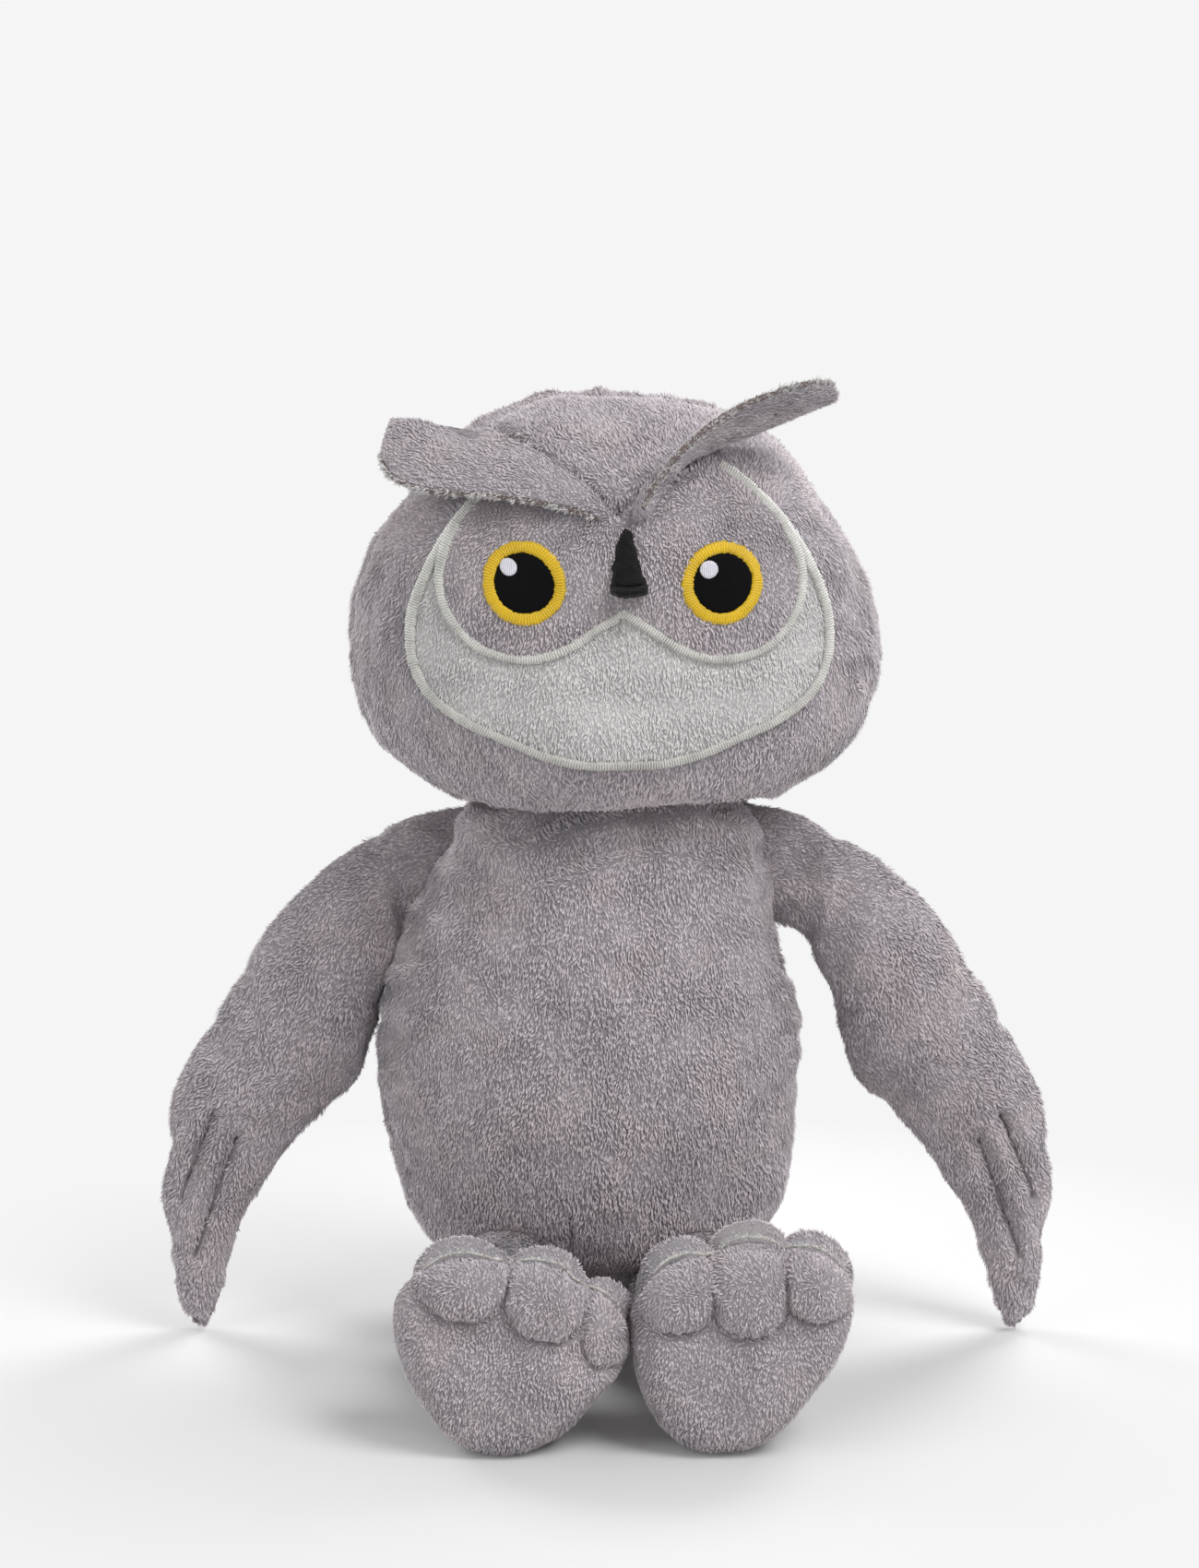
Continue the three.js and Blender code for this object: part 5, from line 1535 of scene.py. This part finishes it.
def make_feet():
    for name, leg in LEGS.items():
        side, (half_width, half_height) = leg["side"], leg["half"]
        foot = f"{name}_foot"
        ankle = joint_place(f"{name}_ankle_flex")
        rings = stuffed(foot_form(leg), spread=3, cap=1.0)
        cover = loft(f"{foot}_cover", rings)
        points = corners_of(cover)
        across, up = side * points[:, 0] / half_width, points[:, 2] / half_height
        on_sole = smooth_step(1.0, -3.0, points[:, 1])
        amounts, bulge, gaps = toe_bulges(points, across, up, leg, on_sole)
        gathers = np.sin(across * 30 + 2 * lumps(points, 20, 90)) * bell(gaps + 2.5, 3.0)
        amounts += 0.4 * gathers * on_sole + 0.45 * lumps(points, 24, 91 + side)
        points[:, 1] -= bulge
        move_corners(cover, points)
        press(cover, amounts)

        def off_the_seam(p, n, top=0.45 * half_height):
            return (np.abs(p[:, 1]) > 1.0) | (p[:, 2] < top)

        pile = grow_pile(f"{foot}_pile", cover, down_nap, 93 + side, off_the_seam, FOOT_PILE_LENGTH)
        rim = rings_of(cover, rings)[UPPER_RINGS - 1]
        rim = rim[rim[:, 2] > TOE_TOPS * half_height]
        rim = rim[np.argsort(rim[:, 0])] + TOE_EDGE_PLACE
        raw = raw_edge(f"{name}_toe_edge", rim, (0.9, 0.8), "Toe edge", colours().filling)
        tufts = fringe(f"{name}_toe_seam", rim, (0.0, -0.5, 1.0), 96 + side, TOE_FRINGE_LENGTHS, 900)
        before = np.array([side * FOOT_OUTWARD, -FOOT_AHEAD - FOOT_THICKNESS / 2, 0.0])
        matrix = np.array(Matrix.Rotation(leg["roll"], 3, "Y"))
        lowest = ((corners_of(cover) + before) @ matrix.T)[:, 2].min() + ankle[2]
        drop = FOOT_SINK - lowest
        for piece in (cover, pile, tufts, raw):
            moved = (corners_of(piece) + before) @ matrix.T + ankle + [0, 0, drop]
            moved[:, 2] = np.maximum(moved[:, 2], FOOT_LOWEST)
            move_corners(piece, moved)
        inner = (rings * FOOT_FILLING_SHARES + before) @ matrix.T + ankle + [0, 0, drop + 1.0]
        stuff(f"{foot}_stuffing", inner, 0, [f"{foot}_filling"], foot)
        finish_grey(cover, None, [f"{foot}_sole_panel", f"{foot}_upper_panel"])
        bend((cover, pile), f"{name}_leg", foot, *(ankle + place for place in ANKLE_BLEND))
        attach(tufts, foot)
        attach(raw, foot)


# What lies inside

# Rows of the bag of pellets and of the wad in the neck: height, and the form's size there.
BAG_ROWS = [(0, 0.55), (0.12, 0.86), (0.35, 0.95), (0.6, 0.93), (0.82, 0.74), (0.95, 0.42), (1, 0.1)]
WAD_ROWS = [(0, 0.84), (0.3, 0.93), (0.62, 0.88), (0.85, 0.62), (1, 0.12)]
BAG_DEPTH = 24.0
BAG_SETBACK = 6.0


def even_rows(rows):
    return [(up, share, share, share) for up, share in rows]


def box_in_mm(name):
    low, high = (np.array(corner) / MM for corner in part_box(name))
    return low, high, (high - low) / 2


def make_insides():
    """The bag of pellets in the seat, and the wad of filling that the head turns on."""
    low, high, half = box_in_mm("pellet_bag")
    form = standing(even_rows(BAG_ROWS), (half[0], BAG_DEPTH, 2 * half[2]), 40, 90)
    bag = loft("pellet_sack", form + [0, BAG_SETBACK, low[2]])
    points = corners_of(bag)
    pellets = np.abs(lumps(points, 7.0, 101)) + 0.5 * lumps(points, 22, 102)
    press(bag, 0.5 * pellets - 0.6)
    finish(bag, woven("Bag cotton", colours().bag, 0.8, 500), "body", ["pellet_bag"])
    low, high, half = box_in_mm("neck_wad")
    form = standing(even_rows(WAD_ROWS), (0.8 * half[0], 0.8 * half[1], 1.5 * half[2]), 30, 60)
    middle = (low + high) / 2
    wad = loft("neck_wadding", form + [middle[0], middle[1], low[2] + 0.4 * half[2]])
    press(wad, 0.6 * lumps(corners_of(wad), 8, 103))
    finish(wad, filling_wool(), "neck", ["neck_wad"])


# Stage

CAMERA_DISTANCE = 1.1
CAMERA_TILT = math.radians(9)
CAMERA_AIM = (0.0028, 0.0, 0.159)
CAMERA_LENS = 89.6
CAMERA_SENSOR = 36.0
# Name, place, size and power of each lamp.
LAMPS = [
    ("key", (0.75, -0.7, 1.2), 0.8, 13.0),
    ("fill", (-0.9, -0.75, 0.75), 1.1, 3.6),
    ("rim", (0.6, 0.75, 0.8), 0.7, 10.0),
    ("rim_left", (-0.7, 0.65, 0.6), 0.6, 6.0),
]
LAMP_AIM = (0, 0, 0.13)
WORLD_LIGHT = 0.36
FLOOR_COLOUR = (0.72, 0.72, 0.72, 1)
FLOOR_RADII = (1.0, 150, 320, 700, 1500, 4000)
# Distances from the owl, in metres, between which the floor fades into the backdrop.
FLOOR_FADE = (0.1, 0.26)


def make_stage():
    scene = bpy.context.scene
    scene.view_settings.view_transform = "Standard"
    make_floor()
    make_world()
    for name, place, size, power in LAMPS:
        lamp(name, place, size, power)
    camera = bpy.data.objects.new("camera", bpy.data.cameras.new("camera"))
    scene.collection.objects.link(camera)
    back = Vector((0, -math.cos(CAMERA_TILT), math.sin(CAMERA_TILT)))
    camera.location = Vector(CAMERA_AIM) + back * CAMERA_DISTANCE
    camera.rotation_euler = (math.radians(90) - CAMERA_TILT, 0, 0)
    camera.data.lens = CAMERA_LENS
    camera.data.sensor_width = CAMERA_SENSOR
    scene.camera = camera


def lamp(name, place, size, power):
    light = bpy.data.lights.new(name, "AREA")
    light.shape = "DISK"
    light.size = size
    light.energy = power
    obj = bpy.data.objects.new(name, light)
    obj.location = place
    obj.rotation_euler = (Vector(LAMP_AIM) - Vector(place)).to_track_quat("-Z", "Y").to_euler()
    bpy.context.scene.collection.objects.link(obj)


def only_seen(tree):
    """1 where the camera, a mirror or glass looks straight at it, and 0 where it only lights the owl."""
    path = node(tree, "ShaderNodeLightPath")
    share = math_node(tree, "MAXIMUM", path.outputs["Is Camera Ray"], path.outputs["Is Glossy Ray"])
    return math_node(tree, "MAXIMUM", share, path.outputs["Is Transmission Ray"])


def make_world():
    world = bpy.data.worlds.new("studio")
    bpy.context.scene.world = world
    world.use_nodes = True
    tree = world.node_tree
    tree.nodes.clear()
    seen = node(tree, "ShaderNodeBackground", {"Color": linear(colours().background), "Strength": 1.0})
    lit = node(tree, "ShaderNodeBackground", {"Color": (1, 1, 1, 1), "Strength": WORLD_LIGHT})
    leave = node(tree, "ShaderNodeOutputWorld")
    mix_shaders(tree, only_seen(tree), lit.outputs[0], seen.outputs[0], leave.inputs["Surface"])


def make_floor():
    """A pale floor that takes the shadow near the owl and fades into the backdrop further out."""
    angle = full_turn(96)
    ring = np.stack([np.cos(angle), np.sin(angle), 0 * angle], axis=1)
    rings = np.array(FLOOR_RADII)[:, None, None] * ring
    floor = loft("floor", rings, ends=(True, False))
    if floor.data.polygons[0].normal.z < 0:
        floor.data.flip_normals()
    material, tree, shader = new_material("Pale floor", {
        "Base Color": FLOOR_COLOUR, "Roughness": 1.0, "Specular IOR Level": 0.0,
    })
    glow = node(tree, "ShaderNodeEmission", {"Color": linear(colours().background), "Strength": 1.0})
    distance = node(tree, "ShaderNodeVectorMath", operation="LENGTH")
    tree.links.new(place_of(tree), distance.inputs[0])
    far = ramp(tree, distance.outputs["Value"], *FLOOR_FADE)
    share = math_node(tree, "MULTIPLY", far, only_seen(tree))
    surface = tree.nodes["Material Output"].inputs["Surface"]
    mix_shaders(tree, share, shader.outputs[0], glow.outputs[0], surface)
    floor.data.materials.append(material)


# Operators and panel

class OWL_OT_stage(bpy.types.Operator):
    """Sets up the floor, the lights, the world and the camera"""

    bl_idname = "owl.stage"
    bl_label = "Stage"
    bl_options = {"REGISTER", "UNDO"}

    def execute(self, context):
        make_stage()
        return {"FINISHED"}


class OWL_OT_body(bpy.types.Operator):
    """Sews the body's cover and grows its pile"""

    bl_idname = "owl.body"
    bl_label = "Body"
    bl_options = {"REGISTER", "UNDO"}

    def execute(self, context):
        make_body()
        return {"FINISHED"}


class OWL_OT_head(bpy.types.Operator):
    """Sews the head's cover and grows its pile"""

    bl_idname = "owl.head"
    bl_label = "Head"
    bl_options = {"REGISTER", "UNDO"}

    def execute(self, context):
        make_head()
        return {"FINISHED"}


class OWL_OT_face(bpy.types.Operator):
    """Lays the face patches and their satin borders"""

    bl_idname = "owl.face"
    bl_label = "Face"
    bl_options = {"REGISTER", "UNDO"}

    def execute(self, context):
        make_face()
        return {"FINISHED"}


class OWL_OT_eyes(bpy.types.Operator):
    """Embroiders the eyes"""

    bl_idname = "owl.eyes"
    bl_label = "Eyes"
    bl_options = {"REGISTER", "UNDO"}

    def execute(self, context):
        make_eyes()
        return {"FINISHED"}


class OWL_OT_beak(bpy.types.Operator):
    """Folds the beak"""

    bl_idname = "owl.beak"
    bl_label = "Beak"
    bl_options = {"REGISTER", "UNDO"}

    def execute(self, context):
        make_beak()
        return {"FINISHED"}


class OWL_OT_brows(bpy.types.Operator):
    """Sews the two brow flaps"""

    bl_idname = "owl.brows"
    bl_label = "Brow flaps"
    bl_options = {"REGISTER", "UNDO"}

    def execute(self, context):
        make_brows()
        return {"FINISHED"}


class OWL_OT_wings(bpy.types.Operator):
    """Sews the two wings with their feathers"""

    bl_idname = "owl.wings"
    bl_label = "Wings"
    bl_options = {"REGISTER", "UNDO"}

    def execute(self, context):
        make_wings()
        return {"FINISHED"}


class OWL_OT_legs(bpy.types.Operator):
    """Sews the two legs"""

    bl_idname = "owl.legs"
    bl_label = "Legs"
    bl_options = {"REGISTER", "UNDO"}

    def execute(self, context):
        make_legs()
        return {"FINISHED"}


class OWL_OT_feet(bpy.types.Operator):
    """Sews the two feet with their toes"""

    bl_idname = "owl.feet"
    bl_label = "Feet"
    bl_options = {"REGISTER", "UNDO"}

    def execute(self, context):
        make_feet()
        return {"FINISHED"}


class OWL_OT_insides(bpy.types.Operator):
    """Makes the bag of pellets and the wad in the neck"""

    bl_idname = "owl.insides"
    bl_label = "Insides"
    bl_options = {"REGISTER", "UNDO"}

    def execute(self, context):
        make_insides()
        return {"FINISHED"}


# In the order in which they run.
OPERATORS = [
    OWL_OT_stage, OWL_OT_body, OWL_OT_head, OWL_OT_face, OWL_OT_eyes,
    OWL_OT_beak, OWL_OT_brows, OWL_OT_wings, OWL_OT_legs, OWL_OT_feet, OWL_OT_insides,
]


class OWL_PT_panel(bpy.types.Panel):
    """Lists the sizes, the colours and the steps that make the owl."""

    bl_label = "Plush Owl"
    bl_idname = "OWL_PT_panel"
    bl_space_type = "VIEW_3D"
    bl_region_type = "UI"
    bl_category = "Owl"

    def draw(self, context):
        scene = context.scene
        for settings, kind in ((scene.owl_sizes, OwlSizes), (scene.owl_colours, OwlColours)):
            for key in kind.__annotations__:
                self.layout.prop(settings, key)
        for step in OPERATORS:
            self.layout.operator(step.bl_idname)


CLASSES = [OwlSizes, OwlColours, *OPERATORS, OWL_PT_panel]


def register():
    for cls in CLASSES:
        bpy.utils.register_class(cls)
    bpy.types.Scene.owl_sizes = bpy.props.PointerProperty(type=OwlSizes)
    bpy.types.Scene.owl_colours = bpy.props.PointerProperty(type=OwlColours)


def unregister():
    del bpy.types.Scene.owl_colours
    del bpy.types.Scene.owl_sizes
    for cls in reversed(CLASSES):
        bpy.utils.unregister_class(cls)


def main():
    register()
    for step in OPERATORS:
        getattr(bpy.ops.owl, step.bl_idname.split(".")[1])()
    bpy.context.view_layer.update()


if __name__ == "__main__":
    main()
